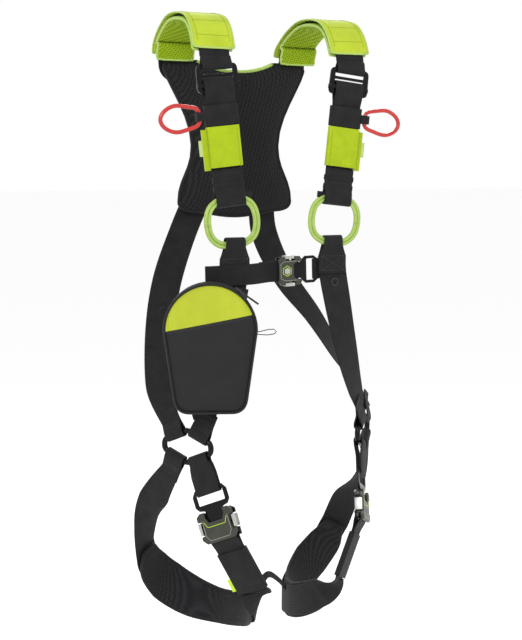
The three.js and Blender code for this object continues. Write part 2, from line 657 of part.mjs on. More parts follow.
// The button on one side with its arm and the pawl that hooks behind the tongue's prong.
function buckleButton(b, s) {
  const pad = b.height * 0.2;
  const span = (from, to) => [Math.min(s * from, s * to), Math.max(s * from, s * to)];
  const pawlOuter = b.neck - b.prong - gap;
  const pawlInner = pawlOuter - 3;
  const [p0, p1] = span(b.halfWidth - 3.5, b.halfWidth + 1.5);
  const [a0, a1] = span(pawlInner, b.halfWidth - 2.5);
  const [n0, n1] = span(pawlInner, pawlOuter);
  const armFront = latch.tongueBack + gap;
  const armBack = latch.floorFront - gap;
  return join(
    box(p0, p1, -5.5, 5.5, -pad, pad),
    box(a0, a1, armFront, armBack, -3.2, 3.2),
    box(n0, n1, latch.tongueFront + gap, armFront + 0.5, -1.5, 1.5),
  );
}

// A leaf spring between the two pawls, at the length that it has with both buttons pressed.
function buckleSpring(b) {
  const free = b.neck - b.prong - gap - 3 - b.press - gap;
  const turns = 2;
  const keys = Array.from({ length: turns + 1 }, (_, i) => {
    return { at: point(-free + 0.5 + (i * (2 * free - 1)) / turns, -0.4, i % 2 ? 2 : -2) };
  });
  const stations = keys.map((k) => ({ at: k.at, across: point(0, 1, 0), width: 1.8 }));
  return band(stations, 0.9);
}

function buckleTongue(b) {
  const half = b.height / 2;
  const w = b.halfWidth - 1;
  const n = b.neck;
  const start = half + 2;
  const windowLow = start + 8;
  const windowHigh = windowLow + b.release + b.band.thickness * 2 + 1.4;
  const top = windowHigh + 6;
  const root = n - b.prong;
  const tipGap = root - (b.press / b.release) * b.tip + 0.2;
  const outline = flatShape([
    [tipGap, -b.tip], [n - 2, -b.tip], [n, -b.tip + 3], [n, start - 1], [w - 5, start + 1], [w, start + 7],
    [w, top - 8], [w - 6, top], [-w + 6, top], [-w, top - 8], [-w, start + 7], [-w + 5, start + 1],
    [-n, start - 1], [-n, -b.tip + 3], [-n + 2, -b.tip], [-tipGap, -b.tip], [-root - 0.2, 0],
    [-root - 0.2, 6], [root + 0.2, 6], [root + 0.2, 0],
  ]);
  const inner = b.band.width / 2 + 0.8;
  const slot = roundedOutline([[-inner, windowLow], [inner, windowLow], [inner, windowHigh],
    [-inner, windowHigh]], 1.5);
  outline.holes.push(new THREE.Path(slot.getPoints(3)));
  return { geometry: plate(outline, latch.tongueFront, latch.tongueBack), barLow: windowHigh };
}

function buckle(group, b, name) {
  const tongue = buckleTongue(b);
  group.add(finish(name("base"), buckleBase(b), look.black));
  group.add(finish(name("cover"), buckleCover(b), look.gunmetal));
  group.add(finish(name("tongue"), tongue.geometry, look.black));
  group.add(finish(name("button_a"), buckleButton(b, 1), look.silver));
  group.add(finish(name("button_b"), buckleButton(b, -1), look.silver));
  group.add(finish(name("spring"), buckleSpring(b), look.steel));
  return tongue.barLow;
}

// Stations of an endless or open band in a frame, from [y, z] pairs that may bring their own width.
function inPlane(group, pairs, width) {
  const across = group.userData.axes.x;
  return pairs.map(([y, z, own]) => ({ at: inFrame(group, 0, y, z), across, width: own ?? width }));
}

function arcPairs(y, z, radius, from, to, steps) {
  return Array.from({ length: steps + 1 }, (_, i) => {
    const angle = from + ((to - from) * i) / steps;
    return [y + radius * Math.cos(angle), z + radius * Math.sin(angle)];
  });
}

function buckleSling(barLow) {
  const tongueMid = (latch.tongueFront + latch.tongueBack) / 2;
  const turn = (latch.tongueBack - latch.tongueFront) / 2 + 0.6 + webbing.thickness / 2;
  const ring = leg.buckleDrop;
  const round = arcPairs(0, ring, ringEye, 0, Math.PI, 9).map((p) => [...p, webbing.gathered]);
  const middle = (webbing.gathered + webbing.width - 5) / 2;
  const pairs = [
    ...round, [-ringEye + 0.4, ring - 7, webbing.gathered], [-ringEye + 1.6, ring - 13, middle],
    [tongueMid - turn, ring - 24],
    ...arcPairs(tongueMid, barLow + 0.3, turn, Math.PI, 2 * Math.PI, 8),
    [tongueMid + turn, ring - 24], [ringEye - 1.6, ring - 13, middle],
    [ringEye - 0.4, ring - 7, webbing.gathered],
  ];
  const stations = inPlane(legAxes, pairs, webbing.width - 5);
  return band(stations, webbing.thickness, 0, true);
}

// The pad runs under the thigh from its outer end behind the leg to its inner end in front.
const padRear = [[163, 64, 112], [153, 77, 82], [128, 82, 50], [92, 66, 24], [60, 32, 16], [48, -12, 24]];
// Its front end is placed from the foot of the strap, just below the sleeve.
const padFront = [[-20.3, 84.4, -53.8], [-16.3, 52.4, -37.8], [-9.3, 26.4, -19.8]];
const sleeveFoot = legSleeve.top - legSleeve.height;
const strapFoot = inFrame(strapAxes, 0, layer, sleeveFoot - 7);
const legOffset = ringCentre.clone().sub(point(144, -62, 300));
const thigh = point(108, -35, 0).add(legOffset);

function padStations() {
  const rear = padRear.map((p) => point(...p).add(legOffset));
  const places = [...rear, ...padFront.map((p) => point(...p).add(strapFoot))];
  const ways = travel(places);
  const keys = places.map((at, i) => {
    const outward = at.clone().sub(thigh).setZ(0).normalize();
    return { at, across: outward.cross(ways[i]).normalize(), width: legPad.widths[i] };
  });
  return smooth(keys, 28);
}

function legPadPiece() {
  return band(padStations(), legPad.thickness, 6);
}

function legStrapPiece() {
  const width = webbing.width;
  const rear = ringSide(1, -1);
  const start = eye({
    bar: rear.bar, across: rear.across, away: rear.away, out: ringOut, radius: ringEye, tail: 38,
    width: webbing.gathered,
  }).reverse();
  const pad = padStations();
  const ways = travel(pad.map((s) => s.at));
  const offset = legPad.thickness / 2 + gap + 0.9 + webbing.thickness / 2;
  const around = pad.map((s, i) => {
    const inward = s.across.clone().cross(ways[i]).normalize();
    return { at: along(s.at, inward, -offset), across: s.across.clone().negate(), normal: inward, width };
  });
  const drop = legOffset;
  const free = [[173, 44, 162], [174, 2, 212]].map((p) => point(...p).add(drop));
  const { x: across, y: out } = strapAxes.userData.axes;
  const end = eye({
    bar: strapAxes.position, across, away: strapUp.clone().negate(), out,
    radius: bandBarRadius + 0.5 + webbing.thickness / 2, run: 20, tail: 88, width,
  });
  const low = inPlane(strapAxes, [[layer, sleeveFoot - 7], [layer, sleeveFoot + 1],
    [layer, sleeveFoot + 25], [layer, legSleeve.top - 6]], width);
  const keys = [start[start.length - 1],
    { at: free[1], across: rear.across.clone().lerp(around[0].across, 0.3), width },
    { at: free[0], across: rear.across.clone().lerp(around[0].across, 0.75), width },
    ...around, ...low, end[0]];
  keys.forEach((k) => k.across.normalize());
  const fine = 4;
  const firstOnPad = 3;
  const lastOnPad = firstOnPad + around.length - 1;
  const middle = smooth(keys, fine * (keys.length - 1)).flatMap((station, i) => {
    if (i < fine * firstOnPad || i > fine * lastOnPad) return [station];
    return i % fine ? [] : [keys[i / fine]];
  });
  const route = [...start.slice(0, -1), ...middle, ...end.slice(1)];
  return band(route, webbing.thickness, 0, false, true);
}

const legSleevePiece = () => wrap(sleeveFoot, legSleeve.top, legSleeve.wall);

// ---- Middle: chest strap, leg bridge and pouch ----
const strapEdge = frontEyeBar.x - webbing.width / 2; // inner edge of the front strap at its top
const chestCentre = point(strapEdge - chestBuckle.clear, torso.front + 4.7, frontEyeBar.z - 40);
const chestFrame = () => framed(chestCentre, point(1, 0.06, 0.03), point(0, -1, 0));
const chestAxes = chestFrame();

function chestStrap() {
  const b = chestBuckle;
  const { y: inward, z: towards } = chestAxes.userData.axes;
  const across = chestAxes.userData.axes.x;
  const width = strip.width;
  const start = eye({
    bar: inFrame(chestAxes, 0, bandBarY, bandBarZ(b)), across, away: towards.clone().negate(),
    out: inward.clone().negate(), radius: bandBarRadius + 0.5 + strip.thickness / 2, run: 16, tail: 30, width,
  }).reverse();
  const x = frontEyeBar.x + 4;
  const over = torso.front - layer - webbing.thickness / 2 - gap - 0.8 - strip.thickness / 2;
  const key = (place, y, z) => ({ at: point(place, y, chestCentre.z + z), across, width });
  const keys = [start[start.length - 1], key(-x + 30, over + 0.6, -2.4), key(-x + 14, over, -2.8),
    key(-x - 20, over, -3.6), key(-x - 42, over + 2.5, -4)];
  const route = [...start.slice(0, -1), ...smooth(keys, 22)];
  return finish("chest_strap", band(route, strip.thickness), look.webbing);
}

function chestStrapEnd(barLow) {
  const turn = (latch.tongueBack - latch.tongueFront) / 2 + 0.5 + strip.thickness / 2;
  const tongueMid = (latch.tongueFront + latch.tongueBack) / 2;
  const { x: across, z: towards } = chestAxes.userData.axes;
  const behind = torso.front + layer + webbing.thickness / 2 + gap + 0.7 + strip.thickness / 2;
  const length = frontEyeBar.x + 16;
  const fold = arcPairs(tongueMid, barLow + 0.3, turn, 0, -Math.PI, 8).reverse();
  const stations = inPlane(chestAxes, fold, strip.width);
  const z = along(chestCentre, towards, 70).z;
  const key = (x, y) => ({ at: point(x, y, z), across, width: strip.width });
  const front = [[length, 1.2], [strapEdge + 18.5, 0.7], [strapEdge + 8.5, 0.5]];
  const rear = [[strapEdge + 8.5, 6.6], [strapEdge + 20.5, 5.4], [length, 3.6]];
  const first = front.map(([x, y]) => key(x, behind + y));
  const rest = rear.map(([x, y]) => key(x, behind + y));
  return finish("chest_strap_end", band([...first, ...stations, ...rest], strip.thickness), look.webbing);
}

function legBridge() {
  const places = [[-31, -68, 64], [-26, -60, 77], [-7, -42, 82], [17, -24, 66], [36, -16, 46]];
  const keys = places.map(([x, y, z]) => {
    return { at: point(x, y, z + legOffset.z), across: point(0.5, 0.8, 0.5).normalize(), width: 10 };
  });
  return finish("leg_bridge", band(smooth(keys, 16), 1.4), look.webbing);
}

function pouchOutline(inset) {
  const r = pouch.radius - inset;
  const base = pouch.baseHalf - inset;
  const low = -pouch.drop + inset;
  const c = pouch.baseCorner;
  const shape = new THREE.Shape();
  shape.moveTo(-base + c, low);
  shape.lineTo(base - c, low);
  shape.quadraticCurveTo(base, low, base + 3, low + c);
  shape.lineTo(r, 0);
  shape.absarc(0, 0, r, 0, Math.PI, false);
  shape.lineTo(-base - 3, low + c);
  shape.quadraticCurveTo(-base, low, -base + c, low);
  return shape;
}

// The pouch stands on its own frame: Z up, -Y forwards, the origin at the arch's centre on the rear face.
const pouchFace = point(Math.sin(radians(pouch.yaw)), -Math.cos(radians(pouch.yaw)), 0);
const pouchFrame = () => framed(point(-frontEyeBar.x - pouch.outward, torso.front - pouch.standoff,
  frontEyeBar.z - 40 - pouch.belowChest), up, pouchFace);
const pouchAxes = pouchFrame();
const zipMiddle = -pouch.depth - gap / 2;

function pouchShell() {
  const p = pouch;
  const h = hanger;
  const tray = cut(
    plate(pouchOutline(0), -p.depth, 0, 12),
    plate(pouchOutline(p.wall), -p.depth - 1, -p.wall, 12),
  );
  const inner = h.tab / 2 + gap + 0.3;
  const lugs = [h.along - inner - h.lug, h.along + inner].map((x) => {
    return box(x, x + h.lug, -1, h.setback + h.pin + 1.6, h.height - 4, h.height + 4);
  });
  const pin = new THREE.CylinderGeometry(h.pin, h.pin, 2 * inner + h.lug, 14);
  pin.rotateZ(Math.PI / 2);
  pin.translate(h.along, h.setback, h.height);
  return join(tray, ...lugs, pin);
}

function pouchFront() {
  const near = -pouch.depth - gap;
  return plate(pouchOutline(0), near - pouch.frontThickness, near, 12);
}

// The zip's slider with its pull, at the top of the arch before it is turned to its place.
function zipSlider() {
  const s = slider;
  const low = pouch.radius + gap;
  const body = box(-s.width / 2, s.width / 2, zipMiddle - 4.5, zipMiddle + 4.5, low, low + 4);
  const pull = box(0, s.pull, zipMiddle - 6, zipMiddle - 4, low + 1, low + 3.6);
  const runner = join(body, pull);
  runner.rotateY(radians(s.angle));
  return runner;
}

// A tube round the wearer's right front strap, with the tab that the pouch's pin runs through.
function pouchBeltLoop() {
  const h = hanger;
  const route = frontStrapRoute().map((s) => point(-s.at.x, s.at.y, s.at.z));
  const target = inFrame(pouchAxes, h.along, 0, h.height).z;
  const low = route.findIndex((p) => p.z < target && p.z < frontEyeBar.z - 46);
  const way = route[low - 1].clone().sub(route[low + 1]).normalize();
  const strapAcross = frontStrapRoute()[low].across;
  const face = point(-strapAcross.x, strapAcross.y, strapAcross.z).cross(way).normalize();
  if (face.y > 0) face.negate();
  const place = framed(route[low], way, face);
  place.updateMatrix();
  const tube = (extra) => {
    const wide = webbing.width / 2 + 0.5 + extra;
    const deep = webbing.thickness / 2 + 0.9 + extra;
    const length = extra ? 13 : 40;
    const geometry = box(-wide, wide, -deep, deep, -length, length);
    return geometry.applyMatrix4(place.matrix);
  };
  const frame = pouchFrame();
  frame.updateMatrix();
  const half = h.tab / 2;
  const tab = box(h.along - half, h.along + half, h.setback - h.pin - 2, pouch.reach,
    h.height - 4.4, h.height + 4.4);
  const bore = new THREE.CylinderGeometry(h.pin + h.clearance, h.pin + h.clearance, 3 * h.tab, 16);
  bore.rotateZ(Math.PI / 2);
  bore.translate(h.along, h.setback, h.height);
  const whole = join(tube(1.8), tab.applyMatrix4(frame.matrix));
  return finish("pouch_belt_loop", cut(whole, tube(0), bore.applyMatrix4(frame.matrix)), look.webbing);
}

function pouchGroup() {
  const group = pouchFrame();
  group.add(finish("pouch_shell", pouchShell(), look.plastic));
  group.add(finish("pouch_front", pouchFront(), look.lime));
  group.add(finish("zip_slider", zipSlider(), look.plastic));
  return group;
}

// ---- The whole harness ----
function sidePieces(side) {
  const name = (piece) => `${piece}_${side}`;
  const group = new THREE.Group();
  group.add(finish(name("shoulder_pad"), shoulderPadPiece(), look.lime));
  group.add(finish(name("shoulder_cover"), shoulderCoverPiece(), look.lime));
  group.add(finish(name("front_strap"), band(frontStrapRoute(), webbing.thickness), look.webbing));
  group.add(finish(name("hip_ring"), hipRing(), look.steel));
  group.add(finish(name("leg_pad"), legPadPiece(), look.mesh));
  group.add(finish(name("leg_strap"), legStrapPiece(), look.webbing));
  const chest = column();
  chest.add(finish(name("adjuster_frame"), adjusterFrame(), look.black));
  chest.add(finish(name("adjuster_bar"), adjusterBar(), look.black));
  chest.add(finish(name("chest_webbing"), chestWebbing(), look.webbing));
  chest.add(finish(name("attachment_loop"), attachmentLoop(), look.loop));
  chest.add(finish(name("loop_sleeve"), loopSleeve(), look.webbing));
  chest.add(finish(name("gear_loop"), gearLoop(), look.red));
  chest.add(finish(name("keeper"), keeperPiece(), look.keeper));
  const lower = legFrame();
  const barLow = buckle(lower, legBuckle, (piece) => name(`leg_${piece}`));
  const strap = strapFrame();
  strap.add(finish(name("leg_sleeve"), legSleevePiece(), look.webbing));
  group.add(chest, lower, strap, finish(name("buckle_sling"), buckleSling(barLow), look.webbing));
  return group;
}

function harness() {
  const whole = new THREE.Group();
  whole.name = "harness";
  const right = sidePieces("right");
  right.scale.x = -1;
  const dorsal = dorsalPlate();
  const chest = chestFrame();
  const barLow = buckle(chest, chestBuckle, (piece) => `chest_${piece}`);
  whole.add(sidePieces("left"), right, chest, pouchGroup());
  whole.add(backPadPiece(), dorsal.piece, dorsalRingPiece(dorsal.pinY, dorsal.pinZ));
  whole.add(shoulderWebbing("shoulder_webbing_right", -1, 0, drape.left));
  whole.add(shoulderWebbing("shoulder_webbing_left", 1, 2 * layer, drape.right));
  whole.add(chestStrap(), chestStrapEnd(barLow), legBridge(), pouchBeltLoop());
  whole.position.z = -shoulderRest;
  return whole;
}

export default harness();
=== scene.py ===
import json
import math
import bmesh
import bpy
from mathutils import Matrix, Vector
from mathutils.kdtree import KDTree


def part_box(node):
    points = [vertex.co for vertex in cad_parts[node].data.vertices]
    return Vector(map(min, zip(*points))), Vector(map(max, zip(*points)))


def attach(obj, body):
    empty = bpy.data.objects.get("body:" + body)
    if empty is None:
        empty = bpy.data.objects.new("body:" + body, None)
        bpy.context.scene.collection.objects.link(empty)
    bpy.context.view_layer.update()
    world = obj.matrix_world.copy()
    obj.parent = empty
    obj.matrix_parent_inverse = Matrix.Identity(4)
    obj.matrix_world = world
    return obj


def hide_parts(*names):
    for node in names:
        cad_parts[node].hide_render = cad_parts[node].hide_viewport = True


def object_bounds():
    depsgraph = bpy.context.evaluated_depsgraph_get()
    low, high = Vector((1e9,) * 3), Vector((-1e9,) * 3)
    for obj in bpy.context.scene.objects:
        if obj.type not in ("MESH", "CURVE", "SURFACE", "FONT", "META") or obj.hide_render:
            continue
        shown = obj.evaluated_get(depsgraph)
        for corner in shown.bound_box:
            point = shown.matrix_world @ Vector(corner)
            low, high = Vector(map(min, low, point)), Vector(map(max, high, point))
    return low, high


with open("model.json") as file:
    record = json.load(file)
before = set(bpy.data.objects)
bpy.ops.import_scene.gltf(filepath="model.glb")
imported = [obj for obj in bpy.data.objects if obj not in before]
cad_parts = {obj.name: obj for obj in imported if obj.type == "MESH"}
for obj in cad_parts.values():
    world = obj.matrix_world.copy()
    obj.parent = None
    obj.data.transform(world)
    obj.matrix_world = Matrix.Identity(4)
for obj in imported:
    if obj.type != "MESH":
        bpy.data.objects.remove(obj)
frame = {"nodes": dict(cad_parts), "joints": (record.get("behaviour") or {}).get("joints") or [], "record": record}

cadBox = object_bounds()
mm = 0.001
nodes = frame["nodes"]
bodyOf = {node: body for body, members in frame["record"]["behaviour"]["bodies"].items()
          for node in members}
jointOf = {joint["name"]: joint for joint in frame["joints"]}
sides = ("left", "right")


# colours come as sRGB hex and go to the shader as linear numbers
def toLinear(hexColour):
    parts = [int(hexColour[i:i + 2], 16) / 255 for i in (1, 3, 5)]
    return [c / 12.92 if c <= 0.04045 else ((c + 0.055) / 1.055) ** 2.4 for c in parts] + [1.0]


# adds a node; links maps its inputs to outputs, inputs maps its inputs to fixed values
def addNode(tree, kind, links=None, inputs=None, **settings):
    node = tree.nodes.new(kind)
    for name, value in settings.items():
        setattr(node, name, value)
    for name, value in (inputs or {}).items():
        node.inputs[name].default_value = value
    for name, source in (links or {}).items():
        tree.links.new(source, node.inputs[name])
    return node


def newMaterial(name, **principled):
    material = bpy.data.materials.new(name)
    material.use_nodes = True
    shader = material.node_tree.nodes["Principled BSDF"]
    for key, value in principled.items():
        shader.inputs[key.replace("_", " ")].default_value = value
    return material, material.node_tree, shader


# woven polyester webbing: lengthwise ribs of crossing threads, with a painted highlight that colours the raised
# threads lighter. Real threads are 1.1 mm apart, drawn at 2.4 mm so that they show
def wovenWebbing(name, dark, light, pitch=2.4 * mm, rib=4.5 * mm, depth=0.00035, roughness=0.72):
    material, tree, shader = newMaterial(name, Roughness=roughness, Specular_IOR_Level=0.22,
                                         Sheen_Weight=0.03)
    uv = addNode(tree, "ShaderNodeUVMap", uv_map="weave")
    split = addNode(tree, "ShaderNodeSeparateXYZ", links={0: uv.outputs[0]})
    fold = addNode(tree, "ShaderNodeMath", operation="PINGPONG", links={0: split.outputs[0]},
                   inputs={1: rib / 2})
    slant = addNode(tree, "ShaderNodeMath", operation="MULTIPLY_ADD", inputs={1: 1.3},
                    links={0: fold.outputs[0], 2: split.outputs[1]})
    turns = addNode(tree, "ShaderNodeMath", operation="MULTIPLY", links={0: slant.outputs[0]},
                    inputs={1: 2 * math.pi / pitch})
    thread = addNode(tree, "ShaderNodeMath", operation="SINE", links={0: turns.outputs[0]})
    groove = addNode(tree, "ShaderNodeMath", operation="MULTIPLY", links={0: fold.outputs[0]},
                     inputs={1: 2 * math.pi / rib})
    ribs = addNode(tree, "ShaderNodeMath", operation="SINE", links={0: groove.outputs[0]})
    height = addNode(tree, "ShaderNodeMath", operation="MULTIPLY_ADD", inputs={1: 0.6},
                     links={0: thread.outputs[0], 2: ribs.outputs[0]})
    # painted highlight: the higher a thread stands in the weave, the lighter its colour; the noise adds random
    # tone
    share = addNode(tree, "ShaderNodeMapRange", links={0: height.outputs[0]}, inputs={1: -1.0, 2: 1.6})
    coord = addNode(tree, "ShaderNodeTexCoord")
    noise = addNode(tree, "ShaderNodeTexNoise", links={"Vector": coord.outputs["Object"]},
                    inputs={"Scale": 60.0, "Detail": 3.0})
    highlightAndTone = addNode(tree, "ShaderNodeMath", operation="MULTIPLY",
                    links={0: share.outputs[0], 1: noise.outputs[0]})
    colour = addNode(tree, "ShaderNodeMix", data_type="RGBA", links={0: highlightAndTone.outputs[0]},
                     inputs={6: toLinear(dark), 7: toLinear(light)})
    tree.links.new(colour.outputs[2], shader.inputs["Base Color"])
    bump = addNode(tree, "ShaderNodeBump", links={"Height": height.outputs[0]},
                   inputs={"Strength": 0.6, "Distance": depth})
    tree.links.new(bump.outputs[0], shader.inputs["Normal"])
    return material


# cloth with a plain weave: cover fabric, coated pouch fabric. The real weave is 0.5 mm, drawn at 1.8 mm
def plainWeave(name, dark, light, pitch=1.8 * mm, roughness=0.75, sheen=0.2, depth=0.0002):
    material, tree, shader = newMaterial(name, Roughness=roughness, Sheen_Weight=sheen,
                                         Specular_IOR_Level=0.3)
    coord = addNode(tree, "ShaderNodeTexCoord")
    grid = addNode(tree, "ShaderNodeVectorMath", operation="SCALE", links={0: coord.outputs["Object"]},
                   inputs={"Scale": 2 * math.pi / pitch})
    waves = addNode(tree, "ShaderNodeVectorMath", operation="SINE", links={0: grid.outputs[0]})
    split = addNode(tree, "ShaderNodeSeparateXYZ", links={0: waves.outputs[0]})
    flat = addNode(tree, "ShaderNodeMath", operation="ADD", links={0: split.outputs[0], 1: split.outputs[1]})
    weave = addNode(tree, "ShaderNodeMath", operation="MULTIPLY",
                    links={0: flat.outputs[0], 1: split.outputs[2]})
    noise = addNode(tree, "ShaderNodeTexNoise", links={"Vector": coord.outputs["Object"]},
                    inputs={"Scale": 35.0, "Detail": 4.0})
    colour = addNode(tree, "ShaderNodeMix", data_type="RGBA", links={0: noise.outputs[0]},
                     inputs={6: toLinear(dark), 7: toLinear(light)})
    tree.links.new(colour.outputs[2], shader.inputs["Base Color"])
    folds = addNode(tree, "ShaderNodeTexNoise", links={"Vector": coord.outputs["Object"]},
                    inputs={"Scale": 22.0, "Detail": 2.0})
    soft = addNode(tree, "ShaderNodeBump", links={"Height": folds.outputs[0]},
                   inputs={"Strength": 0.35, "Distance": 0.004})
    bump = addNode(tree, "ShaderNodeBump", links={"Height": weave.outputs[0], "Normal": soft.outputs[0]},
                   inputs={"Strength": 0.5, "Distance": depth})
    tree.links.new(bump.outputs[0], shader.inputs["Normal"])
    return material


# spacer mesh: knitted polyester with rows of open cells 3 mm apart, painted darker than the threads round them as
# painted shade in the holes
def spacerMesh(name, holeShade, thread, pitch=3.4 * mm):
    material, tree, shader = newMaterial(name, Roughness=0.85, Sheen_Weight=0.03, Specular_IOR_Level=0.15)
    coord = addNode(tree, "ShaderNodeTexCoord")
    lean = addNode(tree, "ShaderNodeMapping", links={0: coord.outputs["Object"]},
                   inputs={"Rotation": (0.3, 0.2, 0.6), "Scale": (1.0, 0.8, 1.15)})
    cells = addNode(tree, "ShaderNodeTexVoronoi", links={"Vector": lean.outputs[0]},
                    inputs={"Scale": 1 / pitch, "Randomness": 0.0})
    threads = addNode(tree, "ShaderNodeMapRange", links={0: cells.outputs["Distance"]},
                      inputs={1: 0.25, 2: 0.55})
    # painted shade: the open cells take the darker colour and the threads round them the lighter one
    colour = addNode(tree, "ShaderNodeMix", data_type="RGBA", links={0: threads.outputs[0]},
                     inputs={6: toLinear(holeShade), 7: toLinear(thread)})
    tree.links.new(colour.outputs[2], shader.inputs["Base Color"])
    bump = addNode(tree, "ShaderNodeBump", links={"Height": threads.outputs[0]},
                   inputs={"Strength": 0.7, "Distance": 0.0006})
    tree.links.new(bump.outputs[0], shader.inputs["Normal"])
    return material


# tubular braid on loops and cords, from the piece's own UV map, with the same painted highlight on its raised
# threads
def braid(name, dark, light, pitch=3.2 * mm, roughness=0.7):
    return wovenWebbing(name, dark, light, pitch=pitch, rib=2.6 * mm, depth=0.0005, roughness=roughness)


# anodised or painted metal: a fine blasted grain, with slightly worn, brighter spots
def blastedMetal(name, base, metallic, roughness, grain=900.0, depth=0.00004):
    material, tree, shader = newMaterial(name, Metallic=metallic, Roughness=roughness)
    coord = addNode(tree, "ShaderNodeTexCoord")
    fine = addNode(tree, "ShaderNodeTexNoise", links={"Vector": coord.outputs["Object"]},
                   inputs={"Scale": grain, "Detail": 2.0})
    wear = addNode(tree, "ShaderNodeTexNoise", links={"Vector": coord.outputs["Object"]},
                   inputs={"Scale": 90.0, "Detail": 4.0})
    rough = addNode(tree, "ShaderNodeMapRange", links={0: wear.outputs[0]},
                    inputs={1: 0.3, 2: 0.7, 3: roughness * 0.8, 4: roughness * 1.25})
    tree.links.new(rough.outputs[0], shader.inputs["Roughness"])
    darker = [c * 0.75 for c in toLinear(base)[:3]] + [1.0]
    colour = addNode(tree, "ShaderNodeMix", data_type="RGBA", links={0: wear.outputs[0]},
                     inputs={6: darker, 7: toLinear(base)})
    tree.links.new(colour.outputs[2], shader.inputs["Base Color"])
    bump = addNode(tree, "ShaderNodeBump", links={"Height": fine.outputs[0]},
                   inputs={"Strength": 0.4, "Distance": depth})
    tree.links.new(bump.outputs[0], shader.inputs["Normal"])
    return material


# moulded plastic: soft sheen with a fine grain from the mould
def mouldedPlastic(name, base, roughness, coat=0.0):
    material, tree, shader = newMaterial(name, Roughness=roughness, Coat_Weight=coat, IOR=1.46)
    coord = addNode(tree, "ShaderNodeTexCoord")
    grain = addNode(tree, "ShaderNodeTexNoise", links={"Vector": coord.outputs["Object"]},
                    inputs={"Scale": 700.0, "Detail": 3.0})
    tone = addNode(tree, "ShaderNodeTexNoise", links={"Vector": coord.outputs["Object"]},
                   inputs={"Scale": 40.0})
    darker = [c * 0.8 for c in toLinear(base)[:3]] + [1.0]
    colour = addNode(tree, "ShaderNodeMix", data_type="RGBA", links={0: tone.outputs[0]},
                     inputs={6: darker, 7: toLinear(base)})
    tree.links.new(colour.outputs[2], shader.inputs["Base Color"])
    bump = addNode(tree, "ShaderNodeBump", links={"Height": grain.outputs[0]},
                   inputs={"Strength": 0.3, "Distance": 0.00005})
    tree.links.new(bump.outputs[0], shader.inputs["Normal"])
    return material


webbingBlack = wovenWebbing("polyesterWebbingBlack", "#070708", "#2b2b2d")
webbingStrip = wovenWebbing("polyesterWebbingNarrow", "#060607", "#27272a", rib=3.6 * mm)
loopWeave = braid("polyesterBraidLime", "#8eac44", "#c4d888")
elasticLime = wovenWebbing("wovenElasticLime", "#8ea408", "#bdd21c", pitch=3.0 * mm, rib=3.0 * mm)
tagPale = plainWeave("polyamideTapePale", "#9fb562", "#b9cb82", sheen=0.05)
coverLime = plainWeave("polyesterCoverLime", "#9dae1c", "#b9cb32", sheen=0.05)
liningLime = spacerMesh("spacerLiningLime", "#5f740c", "#8fab18", pitch=3.0 * mm)
bindingPale = wovenWebbing("bindingTapePale", "#9ab850", "#c4da84", rib=2.2 * mm)
meshBlack = spacerMesh("spacerMeshBlack", "#060607", "#262628")
bindingBlack = wovenWebbing("bindingTapeBlack", "#08080a", "#28282b", rib=2.2 * mm)
pouchLime = plainWeave("coatedPolyamideLime", "#9ca51c", "#b5c02c", sheen=0.02, roughness=0.6)
pouchBlack = plainWeave("coatedPolyamideBlack", "#070708", "#161617", sheen=0.02, roughness=0.55)
anodisedBlack = blastedMetal("anodisedAluminiumBlack", "#1a1a1c", 0.75, 0.26)
anodisedGunmetal = blastedMetal("anodisedAluminiumGunmetal", "#4a4c45", 0.8, 0.4)
satinAluminium = blastedMetal("satinAluminium", "#c6c7c0", 1.0, 0.3)
springSteel = blastedMetal("springSteel", "#8d9096", 1.0, 0.25)
plasticBlack = mouldedPlastic("mouldedPolyamideBlack", "#1c1c1d", 0.45)
tubeRed = mouldedPlastic("pvcTubeRed", "#bf2420", 0.3, coat=0.3)
enamelLime = mouldedPlastic("enamelLime", "#b9e01e", 0.4)
enamelPale = mouldedPlastic("enamelPale", "#a9ab9e", 0.4)
threadBlack = mouldedPlastic("polyesterThreadBlack", "#3a3a3d", 0.6)
threadLime = mouldedPlastic("polyesterThreadLime", "#7c8c14", 0.6)
print("materials ready")


def addObject(name, mesh):
    piece = bpy.data.objects.new(name, mesh)
    bpy.context.scene.collection.objects.link(piece)
    return piece


# makes every face of a closed piece look outwards
def faceOutwards(piece):
    work = bmesh.new()
    work.from_mesh(piece.data)
    bmesh.ops.recalc_face_normals(work, faces=work.faces)
    work.to_mesh(piece.data)
    work.free()


def toPiece(name, verts, faces, material, body, uvs=None, smooth=True):
    mesh = bpy.data.meshes.new(name)
    mesh.from_pydata([tuple(vert) for vert in verts], [], faces)
    if uvs:
        layer = mesh.uv_layers.new(name="weave")
        for loop in mesh.loops:
            layer.data[loop.index].uv = uvs[loop.vertex_index]
    mesh.materials.append(material)
    mesh.validate()
    mesh.update()
    piece = addObject(name, mesh)
    if smooth:
        mesh.shade_smooth()
    if body:
        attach(piece, body)
    return piece


# one material and smooth faces; edges sharper than `sharp` degrees stay crisp
def dress(piece, material, sharp=None):
    piece.data.materials.clear()
    piece.data.materials.append(material)
    piece.data.shade_smooth()
    if sharp:
        piece.data.set_sharp_from_angle(angle=math.radians(sharp))


# puts a piece on its node's body and shows it in the node's place
def standFor(piece, node):
    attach(piece, bodyOf[node])
    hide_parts(node)


# a merged copy of a CAD node's mesh
def mergedMesh(node):
    work = bmesh.new()
    work.from_mesh(nodes[node].data)
    bmesh.ops.remove_doubles(work, verts=work.verts, dist=2e-6)
    return work


# an object that starts as a node's merged mesh; `flatten` joins the triangles of each flat face
def copyOf(node, flatten=False):
    work = mergedMesh(node)
    if flatten:
        bmesh.ops.dissolve_limit(work, angle_limit=math.radians(1.0), verts=work.verts, edges=work.edges)
    mesh = bpy.data.meshes.new(node)
    work.to_mesh(mesh)
    work.free()
    return addObject("look_" + node, mesh)


# turns an object with modifiers into a plain mesh
def bake(piece):
    bpy.context.view_layer.update()
    evaluated = piece.evaluated_get(bpy.context.evaluated_depsgraph_get())
    mesh = bpy.data.meshes.new_from_object(evaluated)
    piece.modifiers.clear()
    piece.data = mesh


